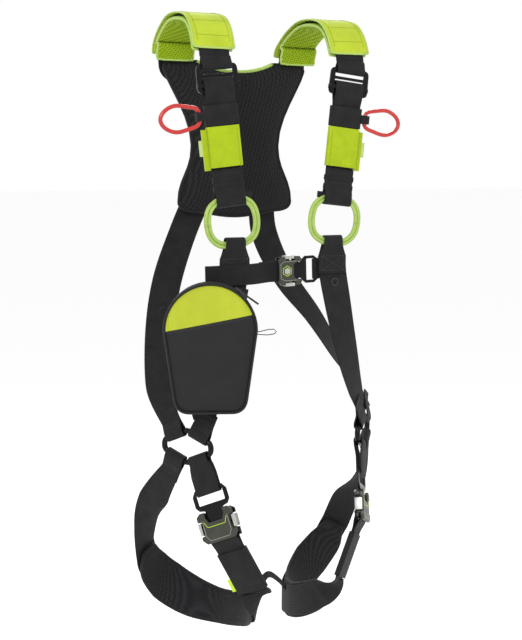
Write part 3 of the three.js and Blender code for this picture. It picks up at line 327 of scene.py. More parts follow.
def bevelEdges(piece, width, segments, angle=30):
    bevel = piece.modifiers.new("edges", "BEVEL")
    bevel.width = width
    bevel.segments = segments
    bevel.limit_method = "ANGLE"
    bevel.angle_limit = math.radians(angle)
    bevel.harden_normals = False
    bake(piece)


def subdivide(piece, levels):
    subdivision = piece.modifiers.new("round", "SUBSURF")
    subdivision.levels = subdivision.render_levels = levels
    bake(piece)


# the webbing's own map: across and along in metres, read from the direction that each face looks
def boxUv(mesh, along=Vector((0, 0, 1)), front=Vector((0, -1, 0))):
    layer = mesh.uv_layers.get("weave") or mesh.uv_layers.new(name="weave")
    across = along.cross(front).normalized()
    for face in mesh.polygons:
        sideways = abs(face.normal.dot(across)) > 0.7
        for index in face.loop_indices:
            place = mesh.vertices[mesh.loops[index].vertex_index].co
            layer.data[index].uv = (place.dot(front if sideways else across), place.dot(along))


# a metal, plastic or sewn piece: the CAD node's shape with every sharp edge rounded
def rounded(node, material, edge=0.5 * mm, segments=2, along=Vector((0, 0, 1)), front=Vector((0, -1, 0))):
    piece = copyOf(node, flatten=True)
    bevelEdges(piece, edge, segments)
    dress(piece, material, sharp=50)
    boxUv(piece.data, along, front)
    standFor(piece, node)


# a bar bent round: the CAD node's shape with its section made truly round
def smoothBar(node, material):
    piece = copyOf(node)
    subdivide(piece, 2)
    dress(piece, material)
    standFor(piece, node)


# the faces between rings of `count` points; on a closed run the last ring meets the first
def ringFaces(rings, count, closed=False):
    faces = []
    for i in range(rings if closed else rings - 1):
        here, onward = i * count, (i + 1) % rings * count
        for j in range(count):
            k = (j + 1) % count
            faces.append((here + j, here + k, onward + k, onward + j))
    return faces


def endFaces(rings, count):
    return [tuple(range(count))[::-1], tuple(range((rings - 1) * count, rings * count))]


# a bar or tape of oval section along places, across and thick in metres; `face` turns its broad side
def tapeAlong(name, places, face, wide, thick, material, body, closed=False, sides=12):
    count = len(places)
    verts, uvs = [], []
    run = 0.0
    for i, place in enumerate(places):
        before = places[i - 1] if closed or i else places[i]
        after = places[(i + 1) % count] if closed or i < count - 1 else places[i]
        way = (after - before).normalized()
        normal = face[i] if isinstance(face, list) else face
        side = way.cross(normal).normalized()
        up = side.cross(way).normalized()
        run += (place - before).length if i else 0
        for j in range(sides):
            turn = 2 * math.pi * j / sides
            verts.append(place + side * (wide / 2 * math.cos(turn)) + up * (thick / 2 * math.sin(turn)))
            uvs.append((j / sides * (wide + thick), run))
    faces = ringFaces(count, sides, closed) + ([] if closed else endFaces(count, sides))
    piece = toPiece(name, verts, faces, material, body, uvs)
    faceOutwards(piece)
    return piece


# a Geometry Nodes group that lays short threads along every edge path of a mesh
def stitchTree(material):
    tree = bpy.data.node_groups.new("stitches_" + material.name, "GeometryNodeTree")
    tree.interface.new_socket("Geometry", in_out="INPUT", socket_type="NodeSocketGeometry")
    for name in ("Pitch", "Thread", "Stitch"):
        tree.interface.new_socket(name, in_out="INPUT", socket_type="NodeSocketFloat")
    tree.interface.new_socket("Geometry", in_out="OUTPUT", socket_type="NodeSocketGeometry")
    given = tree.nodes.new("NodeGroupInput")
    made = tree.nodes.new("NodeGroupOutput")
    path = addNode(tree, "GeometryNodeMeshToCurve", links={"Mesh": given.outputs["Geometry"]})
    points = addNode(tree, "GeometryNodeCurveToPoints", mode="LENGTH",
                     links={"Curve": path.outputs[0], "Length": given.outputs["Pitch"]})
    thread = addNode(tree, "GeometryNodeMeshCylinder", inputs={"Vertices": 6},
                     links={"Radius": given.outputs["Thread"], "Depth": given.outputs["Stitch"]})
    placed = addNode(tree, "GeometryNodeInstanceOnPoints", links={
        "Points": points.outputs["Points"], "Instance": thread.outputs["Mesh"],
        "Rotation": points.outputs["Rotation"]})
    real = addNode(tree, "GeometryNodeRealizeInstances", links={"Geometry": placed.outputs[0]})
    coat = addNode(tree, "GeometryNodeSetMaterial", links={"Geometry": real.outputs[0]},
                   inputs={"Material": material})
    tree.links.new(coat.outputs[0], made.inputs[0])
    return tree


stitchTrees = {}


# rows of stitches: each path is a list of places on the surface
def stitches(name, paths, material, body, pitch=3.2 * mm, thread=0.32 * mm,
             stitch=2.2 * mm):
    verts, edges = [], []
    for path in paths:
        start = len(verts)
        verts += [tuple(place) for place in path]
        edges += [(start + i, start + i + 1) for i in range(len(path) - 1)]
    mesh = bpy.data.meshes.new(name)
    mesh.from_pydata(verts, edges, [])
    piece = addObject(name, mesh)
    if material.name not in stitchTrees:
        stitchTrees[material.name] = stitchTree(material)
    tree = stitchTrees[material.name]
    modifier = piece.modifiers.new("stitches", "NODES")
    modifier.node_group = tree
    values = {"Pitch": pitch, "Thread": thread, "Stitch": stitch}
    for item in tree.interface.items_tree:
        if item.in_out == "INPUT" and item.name in values:
            modifier[item.identifier] = values[item.name]
    bake(piece)
    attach(piece, body)


# a place on a strap: `at` metres along it, `aside` metres from its middle, and `lift` above the face that
# looks `towards`
def onStrap(stations, at, aside, towards=Vector((0, -1, 0)), lift=0.15 * mm):
    run = 0.0
    for a, b in zip(stations, stations[1:]):
        step = (b["at"] - a["at"]).length
        if run + step >= at:
            break
        run += step
    t = min(max((at - run) / step, 0), 1)
    place = a["at"].lerp(b["at"], t)
    across = a["across"].lerp(b["across"], t).normalized()
    normal = a["normal"].lerp(b["normal"], t).normalized()
    outward = normal if normal.dot(towards) > 0 else -normal
    return place + across * aside + outward * (a["deep"] + lift)


def strapLength(stations):
    return sum((b["at"] - a["at"]).length for a, b in zip(stations, stations[1:]))


# the boxed cross that sews two layers of webbing, as paths on the strap
def boxStitch(stations, start, end, towards=Vector((0, -1, 0)), margin=4 * mm):
    half = stations[len(stations) // 2]["half"] - margin
    steps = 8
    rows = [start + (end - start) * i / steps for i in range(steps + 1)]
    spans = [-half + 2 * half * i / steps for i in range(steps + 1)]
    paths = [[onStrap(stations, row, side * half, towards) for row in rows] for side in (-1, 1)]
    paths += [[onStrap(stations, row, span, towards) for span in spans] for row in (start, end)]
    for side in (-1, 1):
        paths.append([onStrap(stations, row, side * span, towards) for row, span in zip(rows, spans)])
    return paths


# the same stations, starting at the end that hangs higher
def topFirst(stations):
    return stations if stations[0]["at"].z > stations[-1]["at"].z else stations[::-1]


# rows of stitches straight across a strap
def tackRows(stations, rows, towards):
    paths = []
    for row in rows:
        run, half = 0.0, stations[0]["half"]
        for a, b in zip(stations, stations[1:]):
            run += (b["at"] - a["at"]).length
            if run > row:
                half = b["half"]
                break
        paths.append([onStrap(stations, row, (half - 3 * mm) * k / 6, towards) for k in range(-6, 7)])
    return paths


# the end faces of a swept solid: flat groups of joined triangles with that many corners
def flatGroups(work, count):
    seen = set()
    for face in work.faces:
        if face.index in seen:
            continue
        group, queue = {face}, [face]
        while queue:
            for edge in queue.pop().edges:
                for other in edge.link_faces:
                    if other not in group and other.normal.angle(face.normal, 9) < 0.004:
                        group.add(other)
                        queue.append(other)
        seen |= {f.index for f in group}
        corners = {v.index for f in group for v in f.verts}
        if len(group) == count - 2 and len(corners) == count:
            yield corners


# the stations of a strap or pad, read from its CAD solid from one end to the other
def stationsOf(node, count=4):
    work = mergedMesh(node)
    work.verts.ensure_lookup_table()
    work.faces.ensure_lookup_table()
    work.normal_update()
    neighbours = [{edge.other_vert(v).index for edge in v.link_edges} for v in work.verts]
    places = [v.co.copy() for v in work.verts]
    layers = []
    for corners in flatGroups(work, count):
        layers = [corners]
        seen = set(corners)
        while len(layers[-1]) == count:
            following = set().union(*(neighbours[i] for i in layers[-1])) - seen
            if not following:
                break
            layers.append(following)
            seen |= following
        if len(seen) == len(places) and all(len(layer) == count for layer in layers):
            break
        layers = []
    work.free()
    centres = [sum((places[i] for i in layer), Vector()) / count for layer in layers]
    stations = []
    across = None
    for k, layer in enumerate(layers):
        points = [places[i] - centres[k] for i in layer]
        if across is None:
            across = max(points, key=lambda p: p.length).normalized()
        order = sorted(points, key=lambda p: p.dot(across))
        across = ((order[-1] + order[-2]) - (order[0] + order[1])).normalized()
        way = (centres[min(k + 1, len(centres) - 1)] - centres[max(k - 1, 0)]).normalized()
        normal = way.cross(across).normalized()
        half = max(p.dot(across) for p in points)
        deep = max(p.dot(normal) for p in points)
        stations.append({"at": centres[k], "across": across.copy(), "normal": normal, "half": half,
                         "deep": deep})
    return stations


# more stations on a smooth curve through the ones given
def refined(stations, steps=3):
    result = []
    count = len(stations)
    for i in range(count - 1):
        a, b = stations[i], stations[i + 1]
        before = stations[max(i - 1, 0)]
        after = stations[min(i + 2, count - 1)]
        chord = (b["at"] - a["at"]).length
        way = (b["at"] - before["at"]).normalized() * chord
        onward = (after["at"] - a["at"]).normalized() * chord
        for k in range(steps):
            t = k / steps
            h = (2 * t ** 3 - 3 * t ** 2 + 1, t ** 3 - 2 * t ** 2 + t, 3 * t ** 2 - 2 * t ** 3,
                 t ** 3 - t ** 2)  # the four weights of a smooth step through both points
            at = a["at"] * h[0] + way * h[1] + b["at"] * h[2] + onward * h[3]
            result.append({"at": at, "across": a["across"].lerp(b["across"], t).normalized(),
                           "normal": a["normal"].lerp(b["normal"], t).normalized(),
                           "half": a["half"] + (b["half"] - a["half"]) * t,
                           "deep": a["deep"] + (b["deep"] - a["deep"]) * t})
    result.append(stations[-1])
    return result


# a strap's section: flat faces, a rounded and slightly thinner selvedge
def strapSection(half, deep):
    edge = 0.9 * deep
    corner = [(half - 2.2 * edge, deep * 0.97), (half - edge, deep * 0.97), (half - 0.4 * edge, deep * 0.75),
              (half, deep * 0.3)]
    right = corner + [(a, -b) for a, b in reversed(corner)]
    return right + [(-a, -b) for a, b in right]


def strap(node, material):
    stations = refined(stationsOf(node))
    verts, uvs = [], []
    run = 0.0
    for i, s in enumerate(stations):
        run += (s["at"] - stations[i - 1]["at"]).length if i else 0
        for aside, lift in strapSection(s["half"], s["deep"]):
            verts.append(s["at"] + s["across"] * aside + s["normal"] * lift)
            uvs.append((aside, run))
    count = len(verts) // len(stations)
    faces = ringFaces(len(stations), count) + endFaces(len(stations), count)
    first, second = stations[:2]
    if first["across"].cross(first["normal"]).dot(second["at"] - first["at"]) > 0:
        faces = [face[::-1] for face in faces]  # the section runs the other way round
    piece = toPiece("look_" + node, verts, faces, material, bodyOf[node], uvs)
    faceOutwards(piece)
    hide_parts(node)
    return stations


straps = {}
for side in sides:
    for kind in ("shoulder_webbing", "chest_webbing", "front_strap", "leg_strap"):
        straps[f"{kind}_{side}"] = strap(f"{kind}_{side}", webbingBlack)
for node in ("chest_strap", "chest_strap_end", "leg_bridge"):
    straps[node] = strap(node, webbingStrip)
print("webbing woven:", len(straps), "straps")


columnAlong = {side: Vector(jointOf[f"adjuster_slide_{side}"]["axis"]) for side in sides}
legAlong = {side: Vector(jointOf[f"leg_tongue_slide_{side}"]["axis"]) for side in sides}
legAcross = {side: Vector(jointOf[f"leg_press_b_{side}"]["axis"]) for side in sides}

# metal, plastic and sewn pieces
for side in sides:
    legFront = legAlong[side].cross(legAcross[side]).normalized()
    rounded(f"adjuster_frame_{side}", anodisedBlack, edge=0.9 * mm, segments=3)
    rounded(f"adjuster_bar_{side}", anodisedBlack, segments=3)
    smoothBar(f"hip_ring_{side}", anodisedBlack)
    smoothBar(f"gear_loop_{side}", tubeRed)
    rounded(f"loop_sleeve_{side}", webbingBlack, edge=0.6 * mm, along=columnAlong[side])
    rounded(f"keeper_{side}", elasticLime, along=columnAlong[side])
    rounded(f"leg_sleeve_{side}", webbingBlack, along=legAlong[side], front=legFront)
    rounded(f"buckle_sling_{side}", webbingBlack, along=legAlong[side], front=legFront)
for name in [f"leg_{{}}_{side}" for side in sides] + ["chest_{}"]:
    rounded(name.format("base"), anodisedBlack)
    rounded(name.format("cover"), anodisedGunmetal, edge=0.9 * mm, segments=3)
    rounded(name.format("tongue"), anodisedBlack, segments=3)
    rounded(name.format("button_a"), satinAluminium, segments=3)
    rounded(name.format("button_b"), satinAluminium, segments=3)
    rounded(name.format("spring"), springSteel, edge=0.1 * mm)
smoothBar("dorsal_ring", anodisedBlack)
rounded("dorsal_plate", plasticBlack, edge=1.0 * mm, segments=3)
rounded("pouch_belt_loop", webbingBlack, edge=0.4 * mm)
rounded("pouch_shell", pouchBlack, edge=1.5 * mm, segments=3)
rounded("zip_slider", plasticBlack)
print("fittings finished")


# every swept pad: how softly its ends close, its sewn channels, and the points across each face
padLook = {"endLength": 16 * mm, "channelDepth": 0.9 * mm, "channelWidth": 1.6 * mm, "points": 20}
legPadLook = {"crown": 0.5, "tape": 8 * mm, "tapeThick": 6.4 * mm, "fill": 0.6, "channels": (0.62,)}
shoulderPadLook = {"crown": 0.5, "tape": 5 * mm, "tapeThick": 4.6 * mm, "fill": 0.5, "channels": ()}
shoulderCoverLook = {"crown": 0.9, "tape": 4 * mm, "tapeThick": 2.3 * mm, "fill": 0.3, "channels": (),
                     "edgeRows": (-24 * mm, 24 * mm)}


# half the pad's thickness at `share` of the way from its middle to its edge, where its end is `soft` closed
def padDepth(deep, share, soft, half, look):
    rim = (1 - abs(share) ** 3.2) ** 0.5
    deep *= (look["crown"] + (1 - look["crown"]) * rim) * max(soft, 0.35) * (0.45 + 0.55 * min(1, rim * 1.6))
    for channel in look["channels"]:
        away = (abs(share) - channel) * half / padLook["channelWidth"]
        deep -= padLook["channelDepth"] * math.exp(-away ** 2)
    return deep


# the path of the binding round a pad, and the way that it looks at each place
def padRim(stations, inset):
    places, outward = [], []
    rows = ((1, stations[1:-1]), (-1, stations[1:-1][::-1]))
    for side, row in rows:
        for s in row:
            places.append(s["at"] + s["across"] * (side * (s["half"] - inset)))
            outward.append(s["across"] * side)
        last = row[-1]
        way = (last["at"] - row[-2]["at"]).normalized()
        for turn in range(1, 6):
            share = side * (1 - turn / 3)
            places.append(last["at"] + last["across"] * (share * (last["half"] - inset)) + way * (1.2 * mm))
            outward.append(way)
    return places, outward


# a pad swept along its stations: crowned faces, a thin sewn edge, and a tape bound round it
def sweptPad(node, material, bound, look):
    stations = refined(stationsOf(node, 8), 4)
    total, points = strapLength(stations), padLook["points"]
    verts, uvs = [], []
    run = 0.0
    for i, s in enumerate(stations):
        run += (s["at"] - stations[i - 1]["at"]).length if i else 0
        fromEnd = min(run, total - run)
        soft = math.sqrt(max(0.0, 1 - (1 - min(fromEnd / padLook["endLength"], 1)) ** 2))
        half = s["half"] - look["tape"] * 0.25
        for j in range(2 * points):
            top = j < points
            share = (j + 0.5) / points * 2 - 1 if top else 1 - (j - points + 0.5) / points * 2
            deep = padDepth(s["deep"], share, soft, half, look)
            verts.append(s["at"] + s["across"] * (share * half) + s["normal"] * (deep if top else -deep))
            uvs.append((share * half, run))
    faces = ringFaces(len(stations), 2 * points) + endFaces(len(stations), 2 * points)
    piece = toPiece("look_" + node, verts, faces, material, bodyOf[node], uvs)
    faceOutwards(piece)
    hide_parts(node)
    places, outward = padRim(stations, look["tape"] * 0.42)
    tape = tapeAlong("binding_" + node, places, outward, look["tapeThick"], look["tape"] * 0.8, bound,
                     bodyOf[node], closed=True)
    return stations


def coverEdgeStitches(side):
    cover = pads[f"shoulder_cover_{side}"]
    step = strapLength(cover) / 40
    skyward = Vector((0, -0.4, 1))
    rows = [[onStrap(cover, step * k, aside, skyward) for k in range(2, 39)]
            for aside in shoulderCoverLook["edgeRows"]]
    stitches(f"cover_stitches_{side}", rows, threadLime, "harness")


pads = {}
for side in sides:
    for kind, material, bound, look in (("leg_pad", meshBlack, bindingBlack, legPadLook),
                                        ("shoulder_pad", liningLime, bindingPale, shoulderPadLook),
                                        ("shoulder_cover", coverLime, bindingPale, shoulderCoverLook)):
        pads[f"{kind}_{side}"] = sweptPad(f"{kind}_{side}", material, bound, look)
    coverEdgeStitches(side)


# the back pad is blown up as cloth over its foam, only towards the wearer, then gets its sewn channel
backLook = {"voxel": 4.5 * mm, "shrink": 1.2 * mm, "thinEdge": 16 * mm, "swell": 5 * mm, "pressure": 4.0,
            "frames": 14, "channelInset": 17 * mm, "channelDepth": 2.2 * mm, "channelWidth": 2.4 * mm,
            "tape": 8.5 * mm, "tapeThick": 5.5 * mm, "neckTape": 9.6 * mm, "neckThick": 6.2 * mm,
            "neckHalf": 66 * mm, "neckDrop": 16 * mm, "stitchInset": 6.5 * mm}


# the outline of the back pad's front face, in order
def padOutline(node, y):
    work = mergedMesh(node)
    for vertex in [v for v in work.verts if abs(v.co.y - y) > 1e-4]:
        work.verts.remove(vertex)
    edges = [e for e in work.edges if len(e.link_faces) == 1]
    here = edges[0].verts[0]
    order, used = [here], set()
    while True:
        step = next((e for e in here.link_edges if e in edges and e not in used), None)
        if step is None:
            break
        used.add(step)
        here = step.other_vert(here)
        if here is order[0]:
            break
        order.append(here)
    places = [v.co.copy() for v in order]
    work.free()
    return places


# places a steady spacing apart on a closed line
def evenly(places, spacing):
    gaps = [(places[(i + 1) % len(places)] - place).length for i, place in enumerate(places)]
    total = sum(gaps)
    count = max(8, round(total / spacing))
    result, i, run = [], 0, 0.0
    for k in range(count):
        goal = total * k / count
        while run + gaps[i] < goal:
            run += gaps[i]
            i += 1
        result.append(places[i].lerp(places[(i + 1) % len(places)], (goal - run) / gaps[i]))
    return result


# for any place, how far it is from the outline, seen from the front
def distanceFrom(outline):
    tree = KDTree(len(outline))
    for i, place in enumerate(outline):
        tree.insert((place.x, 0, place.z), i)
    tree.balance()
    return lambda place: tree.find((place.x, 0, place.z))[2]


def blowUp(piece):
    cloth = piece.modifiers.new("cloth", "CLOTH")
    cloth.settings.use_pressure = True
    cloth.settings.uniform_pressure_force = backLook["pressure"]
    cloth.settings.effector_weights.gravity = 0
    for frameNumber in range(1, backLook["frames"] + 1):
        bpy.context.scene.frame_set(frameNumber)
    bake(piece)
    bpy.context.scene.frame_set(1)


# the foam: thinner towards its edge, swollen towards the wearer, with a channel sewn round it
def backFoam(node, outline, low, high):
    inset = distanceFrom(outline)
    piece = copyOf(node)
    remesh = piece.modifiers.new("remesh", "REMESH")
    remesh.mode = "VOXEL"
    remesh.voxel_size = backLook["voxel"]
    bake(piece)
    middle = (low[1] + high[1]) / 2
    slimmer = 1 - backLook["shrink"] / (high[1] - low[1])
    for vertex in piece.data.vertices:
        thin = min(1.0, 0.45 + inset(vertex.co) / backLook["thinEdge"] * 0.55)
        vertex.co.y = middle + (vertex.co.y - middle) * thin * slimmer
    start = [v.co.copy() for v in piece.data.vertices]
    blowUp(piece)
    for vertex, before in zip(piece.data.vertices, start):
        if before.y > middle:  # the rear face stays on its plate and straps
            vertex.co = before
            continue
        move = vertex.co - before
        distance = inset(before)
        reach = min(backLook["swell"], distance * 0.4)
        if move.length > reach:
            move *= reach / max(move.length, 1e-9)
        vertex.co = before + Vector((move.x * 0.3, min(move.y, 0), move.z * 0.3))
        if before.y < middle:
            away = (distance - backLook["channelInset"]) / backLook["channelWidth"]
            vertex.co.y += backLook["channelDepth"] * math.exp(-away ** 2)
    subdivide(piece, 1)
    dress(piece, meshBlack)
    standFor(piece, node)


# the black tape all round, the pale tape at the neck, and the row of stitches inside them
def backTrim(outline, low, high):
    middle = (low[1] + high[1]) / 2
    centre = Vector((0, middle, (low[2] + high[2]) / 2))
    rim = []
    for i, place in enumerate(outline):
        way = outline[(i + 1) % len(outline)] - outline[i - 1]
        out = way.cross(Vector((0, 1, 0))).normalized()
        if out.dot(place - centre) < 0:
            out.negate()
        rim.append((Vector((place.x, middle, place.z)) - out * (2.2 * mm), out))
    tape = tapeAlong("binding_back_pad", [p for p, out in rim], [out for p, out in rim], backLook["tape"],
                     backLook["tapeThick"], bindingBlack, "harness", closed=True)
    neck = [(p, out) for p, out in rim
            if p.z > high[2] - backLook["neckDrop"] and abs(p.x) < backLook["neckHalf"]]
    neck.sort(key=lambda pair: pair[0].x)
    edging = tapeAlong("neck_edging", [p + out * (0.5 * mm) for p, out in neck], [out for p, out in neck],
                       backLook["neckTape"], backLook["neckThick"], bindingPale, "harness")
    row = [p - out * backLook["stitchInset"] for p, out in rim]
    face = low[1] + 2.2 * mm
    row = [Vector((p.x, face, p.z)) for p in row]
    stitches("back_pad_stitches", [row], threadBlack, "harness")


def backPad():
    low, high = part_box("back_pad")
    outline = evenly(padOutline("back_pad", low[1]), 4 * mm)
    backFoam("back_pad", outline, low, high)
    backTrim(outline, low, high)


backPad()
print("pads filled")


# each attachment loop is two parallel textile cords, sewn together
loopLook = {"cord": 5.6 * mm, "squeeze": 0.94, "points": 64}


# across (away from the middle), forward and up on one chest strap
def columnAxes(side):
    up = columnAlong[side]
    across = Vector((0, 1, 0)).cross(up).normalized() * (1 if side == "left" else -1)
    return across, Vector((0, -1, 0)), up


# the middle line of a closed ring, read from its CAD solid and smoothed
def ringLine(node, across, up, count):
    work = mergedMesh(node)
    corners = [v.co.copy() for v in work.verts]
    work.free()
    centre = sum(corners, Vector()) / len(corners)
    places = []
    for k in range(count):
        turn = 2 * math.pi * k / count
        ray = across * math.cos(turn) + up * math.sin(turn)
        reach = [(p - centre).dot(ray) for p in corners if (p - centre).normalized().dot(ray) > 0.985]
        places.append(centre + ray * ((min(reach) + max(reach)) / 2))
    weights = ((-2, 1), (-1, 2), (0, 3), (1, 2), (2, 1))
    smooth = [sum((places[(i + step) % count] * share for step, share in weights), Vector()) / 9
              for i in range(count)]
    return centre, smooth


def attachmentLoop(side):
    node = f"attachment_loop_{side}"
    across, front, up = columnAxes(side)
    centre, line = ringLine(node, across, up, loopLook["points"])
    cord = loopLook["cord"]
    for k, sign in enumerate((-0.5, 0.5)):
        offset = sign * cord * loopLook["squeeze"]
        path = [place + (place - centre).normalized() * offset for place in line]
        piece = tapeAlong(f"loop_cord_{k + 1}_{side}", path, -front, cord, cord, loopWeave, "harness",
                          closed=True)
        if k == 0:
            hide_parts(node)


for side in sides:
    attachmentLoop(side)
print("loops braided")


pouchLook = {"crown": 3.2 * mm, "rings": 14, "spacing": 4 * mm, "seamDrop": 0.30, "seamSlant": 0.19,
             "seamRows": (1.6 * mm, 3.4 * mm), "piping": 4.2 * mm}
zipLook = {"radius": 63.6 * mm, "start": -28, "sweep": 236, "pitch": 2.1 * mm, "tooth": 0.8 * mm,
           "toothWidth": 1.1 * mm}


# the pouch's own frame: across, inward and up, with the origin at the middle of its arch
def pouchFrame():
    zipTravel = jointOf["zip_travel"]
    across = Vector(jointOf["pouch_opening"]["axis"]).normalized()
    inward = -Vector(zipTravel["axis"]).normalized()
    return {"origin": Vector(zipTravel["pos_m"]), "across": across, "inward": inward,
            "up": across.cross(inward).normalized()}


pouchBasis = pouchFrame()


def inPouch(x, y, z):
    return (pouchBasis["origin"] + pouchBasis["across"] * x + pouchBasis["inward"] * y
            + pouchBasis["up"] * z)


def toPouch(place):
    offset = place - pouchBasis["origin"]
    return Vector([offset.dot(pouchBasis[axis]) for axis in ("across", "inward", "up")])


# the front panel's outline in the pouch's frame, with its front, its back and its middle
def panelShape(node):
    work = mergedMesh(node)
    local = [toPouch(v.co) for v in work.verts]
    work.free()
    front, back = min(p.y for p in local), max(p.y for p in local)
    rim = {(round(p.x, 6), round(p.z, 6)) for p in local if p.y > back - 1e-4}
    middle = Vector((0, 0, (min(z for x, z in rim) + max(z for x, z in rim)) / 2))
    corners = sorted(rim, key=lambda p: math.atan2(p[1] - middle.z, p[0]))
    outline = evenly([Vector((x, 0, z)) for x, z in corners], pouchLook["spacing"])
    return {"front": front, "back": back, "middle": middle, "outline": outline}


# where the panel's crowned face lies, `share` of the way from its middle to its edge
def panelFace(panel, share):
    swell = panel["front"] - pouchLook["crown"] * (1 - share ** 2) * 0.35
    return panel["back"] - (panel["back"] - swell) * min(1, 0.55 + 0.45 * (1 - share ** 4))


def panelMesh(panel):
    outline, middle, rings = panel["outline"], panel["middle"], pouchLook["rings"]
    count = len(outline)
    verts, uvs = [], []
    for ring in range(rings):
        share = 1 - ring / rings
        for place in outline:
            flat = middle + (place - middle) * share
            verts.append(inPouch(flat.x, panelFace(panel, share), flat.z))
            uvs.append((flat.x, flat.z))
    faces = ringFaces(rings, count)
    tip = len(verts)
    verts.append(inPouch(middle.x, panel["front"] - pouchLook["crown"] * 0.35, middle.z))
    uvs.append((middle.x, middle.z))
    faces += [(tip - count + j, tip - count + (j + 1) % count, tip) for j in range(count)]
    rear = tip + 1
    verts += [inPouch(place.x, panel["back"], place.z) for place in outline]
    uvs += [(place.x, place.z) for place in outline]
    faces.append(tuple(range(rear, rear + count)))
    faces += [(j, rear + j, rear + (j + 1) % count, (j + 1) % count) for j in range(count)]
    return verts, faces, uvs


# cuts the panel along its slanting seam and makes the part above it lime
def colourAbove(piece, seamPoint):
    across, inward, up = (pouchBasis[axis] for axis in ("across", "inward", "up"))
    normal = (up - across * pouchLook["seamSlant"]).normalized()
    piece.data.materials.append(pouchLime)
    work = bmesh.new()
    work.from_mesh(piece.data)
    bmesh.ops.recalc_face_normals(work, faces=work.faces)
    bmesh.ops.bisect_plane(work, geom=work.verts[:] + work.edges[:] + work.faces[:], plane_co=seamPoint,
                           plane_no=normal, dist=1e-6)
    for face in work.faces:
        above = (face.calc_center_median() - seamPoint).dot(normal) > 0
        if above and face.normal.dot(inward) < 0.2:
            face.material_index = 1
    work.to_mesh(piece.data)
    work.free()


# two rows of stitches below the seam, on the crowned face
def panelSeam(panel, seamPoint, body):
    outline, middle = panel["outline"], panel["middle"]
    width = max(p.x for p in outline)
    seam = []
    for k in range(25):
        x = -width + 2 * width * k / 24
        spot = toPouch(seamPoint + pouchBasis["across"] * x + pouchBasis["up"] * (x * pouchLook["seamSlant"]))
        spot.y = 0
        way = (spot - middle).normalized()
        edge = max(outline, key=lambda p: (p - middle).normalized().dot(way))
        share = (spot - middle).length / (edge - middle).length
        if share < 0.94:
            seam.append(inPouch(spot.x, panelFace(panel, share) - 0.25 * mm, spot.z))
    for k, drop in enumerate(pouchLook["seamRows"]):
        stitches(f"pouch_seam_{k + 1}", [[p - pouchBasis["up"] * drop for p in seam]], threadBlack, body)


def pouchPanel(node):
    panel = panelShape(node)
    outline, middle, body = panel["outline"], panel["middle"], bodyOf[node]
    verts, faces, uvs = panelMesh(panel)
    piece = toPiece("look_" + node, verts, faces, pouchBlack, body, uvs)
    top, bottom = max(p.z for p in outline), min(p.z for p in outline)
    seamPoint = inPouch(0, 0, top - (top - bottom) * pouchLook["seamDrop"])
    colourAbove(piece, seamPoint)
    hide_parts(node)
    depth = panel["back"] - panel["front"]
    half = panel["back"] - depth * 0.5
    edge = [inPouch(p.x * 0.985, half, middle.z + (p.z - middle.z) * 0.985) for p in outline]
    out = [(p - inPouch(0, half, middle.z)).normalized() for p in edge]
    piping = tapeAlong("pouch_piping", edge, out, depth * 0.8, pouchLook["piping"], pouchBlack, body,
                       closed=True)
    panelSeam(panel, seamPoint, body)
    return panel


# the zip's teeth round the arch, on the shell's side
def zipTeeth(panel):
    path = []
    for k in range(81):
        turn = math.radians(zipLook["start"] + zipLook["sweep"] * k / 80)
        path.append(inPouch(zipLook["radius"] * math.cos(turn), panel["back"] + 0.6 * mm,
                            zipLook["radius"] * math.sin(turn)))
    stitches("zip_teeth", [path], threadBlack, "pouch", pitch=zipLook["pitch"],
             thread=zipLook["tooth"], stitch=zipLook["toothWidth"])


zipTeeth(pouchPanel("pouch_front"))
print("pouch sewn")


# a thin slab with rounded edges, by its middle, three directions and three sizes
def slab(name, centre, axes, sizes, material, edge=0.3 * mm):
    reach = [axis * (size / 2) for axis, size in zip(axes, sizes)]
    verts = [centre + reach[0] * a + reach[1] * b + reach[2] * c
             for c in (-1, 1) for a, b in ((-1, -1), (1, -1), (1, 1), (-1, 1))]
    faces = [(0, 3, 2, 1), (4, 5, 6, 7), (0, 1, 5, 4), (1, 2, 6, 5), (2, 3, 7, 6), (3, 0, 4, 7)]
    piece = toPiece(name, verts, faces, material, None)
    faceOutwards(piece)
    bevelEdges(piece, min(edge, min(sizes) * 0.4), 2)
    dress(piece, material, sharp=50)
    boxUv(piece.data, axes[2], axes[1])
    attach(piece, "harness")


# the middle and half sizes of a CAD node along three directions
def extents(node, axes):
    places = [v.co for v in nodes[node].data.vertices]
    spans = [(min(p.dot(axis) for p in places), max(p.dot(axis) for p in places)) for axis in axes]
    centre = sum((axis * ((low + high) / 2) for axis, (low, high) in zip(axes, spans)), Vector())
    return centre, [(high - low) / 2 for low, high in spans]


# the plain raised lines and the stud on the buckles' covers, as shares of the cover's half sizes
buckleLook = {"line": 0.9 * mm, "thinLine": 0.6 * mm, "rise": 0.5 * mm, "stud": 5.2 * mm, "hexagon": 7.6 * mm,
              "cup": [(-0.66, 0.42), (-0.5, 0.02), (0.5, 0.02), (0.66, 0.42)],
              "legRim": [(-0.72, 0.5), (-0.72, -0.5), (-0.55, -0.82), (0.55, -0.82), (0.72, -0.5),
                         (0.72, 0.5)],
              "chestRim": [(-0.66, 0.6), (-0.66, -0.5), (-0.5, -0.84), (0.5, -0.84), (0.66, -0.5),
                           (0.66, 0.6)]}


# across, inward and up on a buckle, from the ways that its tongue and its button slide
def buckleAxes(up, across):
    inward = up.cross(across).normalized()
    return across, inward if inward.y > 0 else -inward, up


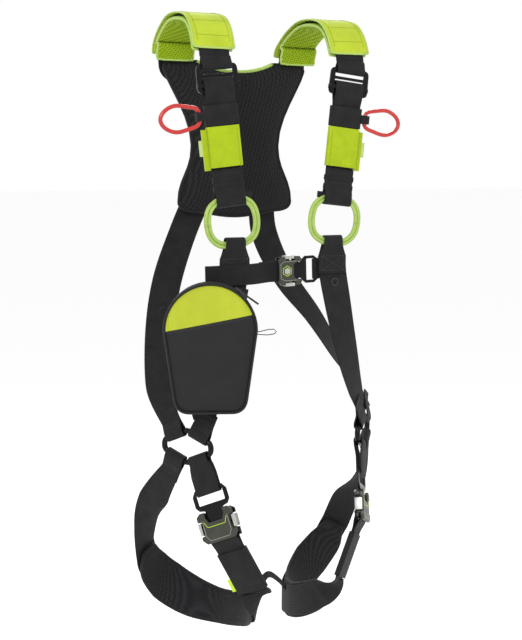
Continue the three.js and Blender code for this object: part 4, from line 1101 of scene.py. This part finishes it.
def raisedLine(name, centre, axes, half, points, material, wide):
    across, inward, up = axes
    path = []
    for (x0, z0), (x1, z1) in zip(points, points[1:]):
        path += [(x0 + (x1 - x0) * k / 6, z0 + (z1 - z0) * k / 6) for k in range(6)]
    places = [centre + across * (x * half[0]) - inward * half[1] + up * (z * half[2])
              for x, z in path + [points[-1]]]
    line = tapeAlong(name, places, -inward, wide, buckleLook["rise"], material, "harness", sides=8)


def legBuckleLines(side):
    axes = buckleAxes(legAlong[side], legAcross[side])
    centre, half = extents(f"leg_cover_{side}", axes)
    raisedLine(f"buckle_cup_{side}", centre, axes, half, buckleLook["cup"], enamelLime, buckleLook["line"])
    raisedLine(f"buckle_rim_{side}", centre, axes, half, buckleLook["legRim"], enamelPale,
               buckleLook["thinLine"])


def chestBuckleTrim():
    axes = buckleAxes(Vector(jointOf["chest_tongue_slide"]["axis"]), Vector(jointOf["chest_press_b"]["axis"]))
    across, inward, up = axes
    centre, half = extents("chest_cover", axes)
    middle = centre - up * (half[2] * 0.3)
    hexagon = [(math.cos(math.radians(60 * k)), math.sin(math.radians(60 * k))) for k in range(7)]
    wide = [buckleLook["hexagon"], half[1], buckleLook["hexagon"]]
    raisedLine("chest_hexagon", middle, axes, wide, hexagon, enamelLime, buckleLook["line"])
    raisedLine("chest_rim", centre, axes, half, buckleLook["chestRim"], enamelPale, buckleLook["thinLine"])
    verts = [middle + (across * x + up * z) * buckleLook["stud"] - inward * (half[1] + rise)
             for rise in (-1 * mm, 0.9 * mm) for x, z in hexagon[:6]]
    faces = endFaces(2, 6) + ringFaces(2, 6)
    stud = toPiece("chest_stud", verts, faces, satinAluminium, "harness", smooth=False)
    faceOutwards(stud)


for side in sides:
    legBuckleLines(side)
chestBuckleTrim()


# the elastic bands and the blank tag below the keeper: drops from the keeper, then across, deep and high
columnLook = {"bandDrops": (14 * mm, 27 * mm), "band": (47 * mm, 6.6 * mm, 8 * mm), "tagDrop": 40 * mm,
              "tagAside": 27 * mm, "tag": (13 * mm, 0.8 * mm, 9 * mm), "pullTab": 5.2 * mm,
              "keeperRows": (-0.86, 0.62)}


def bandsAndTag(side):
    across, front, up = axes = columnAxes(side)
    keeper, keeperHalf = extents(f"keeper_{side}", axes)
    webbing = extents(f"chest_webbing_{side}", axes)[0]

    def below(drop, inset, back):
        place = keeper - up * (keeperHalf[2] + drop)
        place -= across * (place.dot(across) - webbing.dot(across) + inset)
        place.y = webbing.y + back
        return place

    for k, drop in enumerate(columnLook["bandDrops"]):
        slab(f"strap_band_{k + 1}_{side}", below(drop, 0, 0.2 * mm), axes, columnLook["band"], webbingStrip,
             edge=1.2 * mm)
    slab(f"size_tag_{side}", below(columnLook["tagDrop"], columnLook["tagAside"], -1.6 * mm), axes,
         columnLook["tag"], bindingBlack, edge=0.25 * mm)


# the keeper's pale pull tab at its outer edge, and the two rows of stitches up it
def keeperTrim(side):
    across, front, up = axes = columnAxes(side)
    middle, half = extents(f"keeper_{side}", axes)
    keeper = bpy.data.objects["look_keeper_" + side]
    keeper.data.materials.append(tagPale)
    limit = middle.dot(across) + half[0] - columnLook["pullTab"]
    for polygon in keeper.data.polygons:
        if polygon.center.dot(across) > limit:
            polygon.material_index = 1
    face = middle + front * (half[1] + 0.1 * mm)
    rows = [[face + across * (half[0] * aside) + up * (half[2] * share / 10) for share in range(-9, 9)]
            for aside in columnLook["keeperRows"]]
    stitches(f"keeper_stitches_{side}", rows, threadLime, "harness")


# three rows of stitches close each eye round the hip ring
eyeRows = (72 * mm, 75 * mm, 78 * mm)


def strapStitches(side):
    front = topFirst(straps[f"front_strap_{side}"])
    stitches(f"front_stitches_{side}", boxStitch(front, 5 * mm, 26 * mm), threadBlack, "harness")
    ringFace = Vector((0.766 if side == "left" else -0.766, -0.643, 0))  # the hip ring looks half forward
    other = "left" if side == "right" else "right"
    back = topFirst(straps[f"shoulder_webbing_{other}"])
    for name, fromRing in (("front_strap", front[::-1]), ("leg_strap", topFirst(straps[f"leg_strap_{side}"])),
                           ("back", back[::-1])):
        stitches(f"{name}_tacks_{side}", tackRows(fromRing, eyeRows, ringFace), threadBlack, "harness")


def coverSeams(side):
    cover = pads[f"shoulder_cover_{side}"]
    run = strapLength(cover)
    skyward = Vector((0, -0.5, 1))
    seams = [[onStrap(cover, run * share, aside * mm, skyward) for aside in range(-23, 24, 2)]
             for share in (0.08, 0.2, 0.34, 0.48, 0.62, 0.76, 0.9)]
    stitches(f"cover_seams_{side}", seams, threadLime, "harness")


for side in sides:
    bandsAndTag(side)
    keeperTrim(side)
    strapStitches(side)
    coverSeams(side)


# a blank label across the top of the right shoulder cover
def coverLabel():
    cover = pads["shoulder_cover_right"]
    run = strapLength(cover)
    top = max(range(41), key=lambda k: onStrap(cover, run * k / 40, 0, Vector((0, -0.5, 1))).z) * run / 40
    skyward, sideways = Vector((0, -0.2, 1)), Vector((1, 0, 0))
    place = onStrap(cover, top, 0, skyward, 0.3 * mm)
    ahead = (onStrap(cover, top + 3 * mm, 0, skyward, 0.3 * mm) - place).normalized()
    slab("cover_label", place, (sideways, ahead.cross(sideways), ahead), (38 * mm, 0.9 * mm, 9 * mm),
         bindingBlack)


eyeletLook = {"height": -0.368, "radius": 5.2 * mm, "wide": 2.6 * mm, "thick": 1.4 * mm}


# the plastic eyelet on the left front strap, below the chest buckle
def strapEyelet():
    left = straps["front_strap_left"]
    s = min(left[len(left) // 3:], key=lambda s: abs(s["at"].z - eyeletLook["height"]))
    outward = s["normal"] if s["normal"].y < 0 else -s["normal"]
    middle, upward = s["at"] + outward * (s["deep"] + 0.5 * mm), outward.cross(s["across"])
    places = []
    for k in range(32):
        turn = 2 * math.pi * k / 32
        ray = s["across"] * math.cos(turn) + upward * math.sin(turn)
        places.append(middle + ray * eyeletLook["radius"])
    eyelet = tapeAlong("strap_eyelet", places, outward, eyeletLook["wide"], eyeletLook["thick"], plasticBlack,
                       "harness", closed=True)


# the lime tag at the outer edge of a leg sleeve
def legTag(side):
    corners = [v.co for v in nodes[f"leg_sleeve_{side}"].data.vertices]
    corners.sort(key=lambda p: p.dot(legAlong[side]))
    quarter = len(corners) // 4
    across = legAcross[side]
    up = sum(corners[-quarter:], Vector()) / quarter - sum(corners[:quarter], Vector()) / quarter
    up = (up - across * up.dot(across)).normalized()
    axes = (across, up.cross(across).normalized(), up)
    centre, half = extents(f"leg_sleeve_{side}", axes)
    place = centre + across * (half[0] + 1 * mm) - up * (half[2] * 0.5)
    slab(f"leg_tag_{side}", place, axes, (11 * mm, 1.0 * mm, 20 * mm), enamelLime)


# thin tape loops on the pouch's two edges, in mm across and up from the middle of its arch
pouchLoops = {"pouch_loop_long": [(60, -5), (70, -3.5), (80, -1), (88, -0.5), (92, -3.5), (89, -7),
                                  (80, -8.5), (70, -8), (60, -7)],
              "pouch_loop_short": [(-61, 29), (-66, 31), (-70, 28), (-71, 23), (-68, 18), (-62, 18)]}


def pouchLoop(name):
    path = [inPouch(x * mm, -20 * mm, z * mm) for x, z in pouchLoops[name]]
    piece = tapeAlong(name, path, pouchBasis["inward"], 1.1 * mm, 5 * mm, webbingStrip, "pouch", sides=8)


coverLabel()
strapEyelet()
for side in sides:
    legTag(side)
for name in pouchLoops:
    pouchLoop(name)
print("small fittings placed")


# camera, light and floor
studio = {"azimuth": -24.0, "elevation": 7.2, "distance": 1.8, "lens": 66.3, "target": Vector((0, 0, -0.43))}


def setCamera():
    a, e = math.radians(studio["azimuth"]), math.radians(studio["elevation"])
    back = Vector((math.sin(a) * math.cos(e), -math.cos(a) * math.cos(e), math.sin(e)))
    camera = bpy.data.objects.new("camera", bpy.data.cameras.new("camera"))
    camera.data.lens = studio["lens"]
    camera.location = studio["target"] + back * studio["distance"]
    camera.rotation_euler = (-back).to_track_quat("-Z", "Y").to_euler()
    bpy.context.scene.collection.objects.link(camera)
    bpy.context.scene.camera = camera


def addLight(name, place, size, power):
    data = bpy.data.lights.new(name, "AREA")
    data.energy = power
    data.size = size
    light = bpy.data.objects.new(name, data)
    light.location = place
    light.rotation_euler = (studio["target"] - Vector(place)).to_track_quat("-Z", "Y").to_euler()
    bpy.context.scene.collection.objects.link(light)


def setStudio():
    world = bpy.data.worlds.new("studio")
    bpy.context.scene.world = world
    world.use_nodes = True
    world.node_tree.nodes["Background"].inputs[0].default_value = (1, 1, 1, 1)
    world.node_tree.nodes["Background"].inputs[1].default_value = 1.0
    bpy.context.scene.view_settings.view_transform = "Standard"
    floorZ = cadBox[0][2] - 0.35
    verts = [(-60, -60, floorZ), (60, -60, floorZ), (60, 60, floorZ), (-60, 60, floorZ)]
    paper = newMaterial("studioPaper", Base_Color=(0.97, 0.97, 0.97, 1), Roughness=1.0)[0]
    floor = toPiece("floor", verts, [(0, 1, 2, 3)], paper, None, smooth=False)
    addLight("key", (-1.6, -2.2, 1.2), 0.9, 34)
    addLight("fill", (2.2, -1.4, 0.2), 1.4, 6)
    addLight("rim", (0.9, 2.0, 1.2), 0.9, 30)


setCamera()
setStudio()
print("studio set")
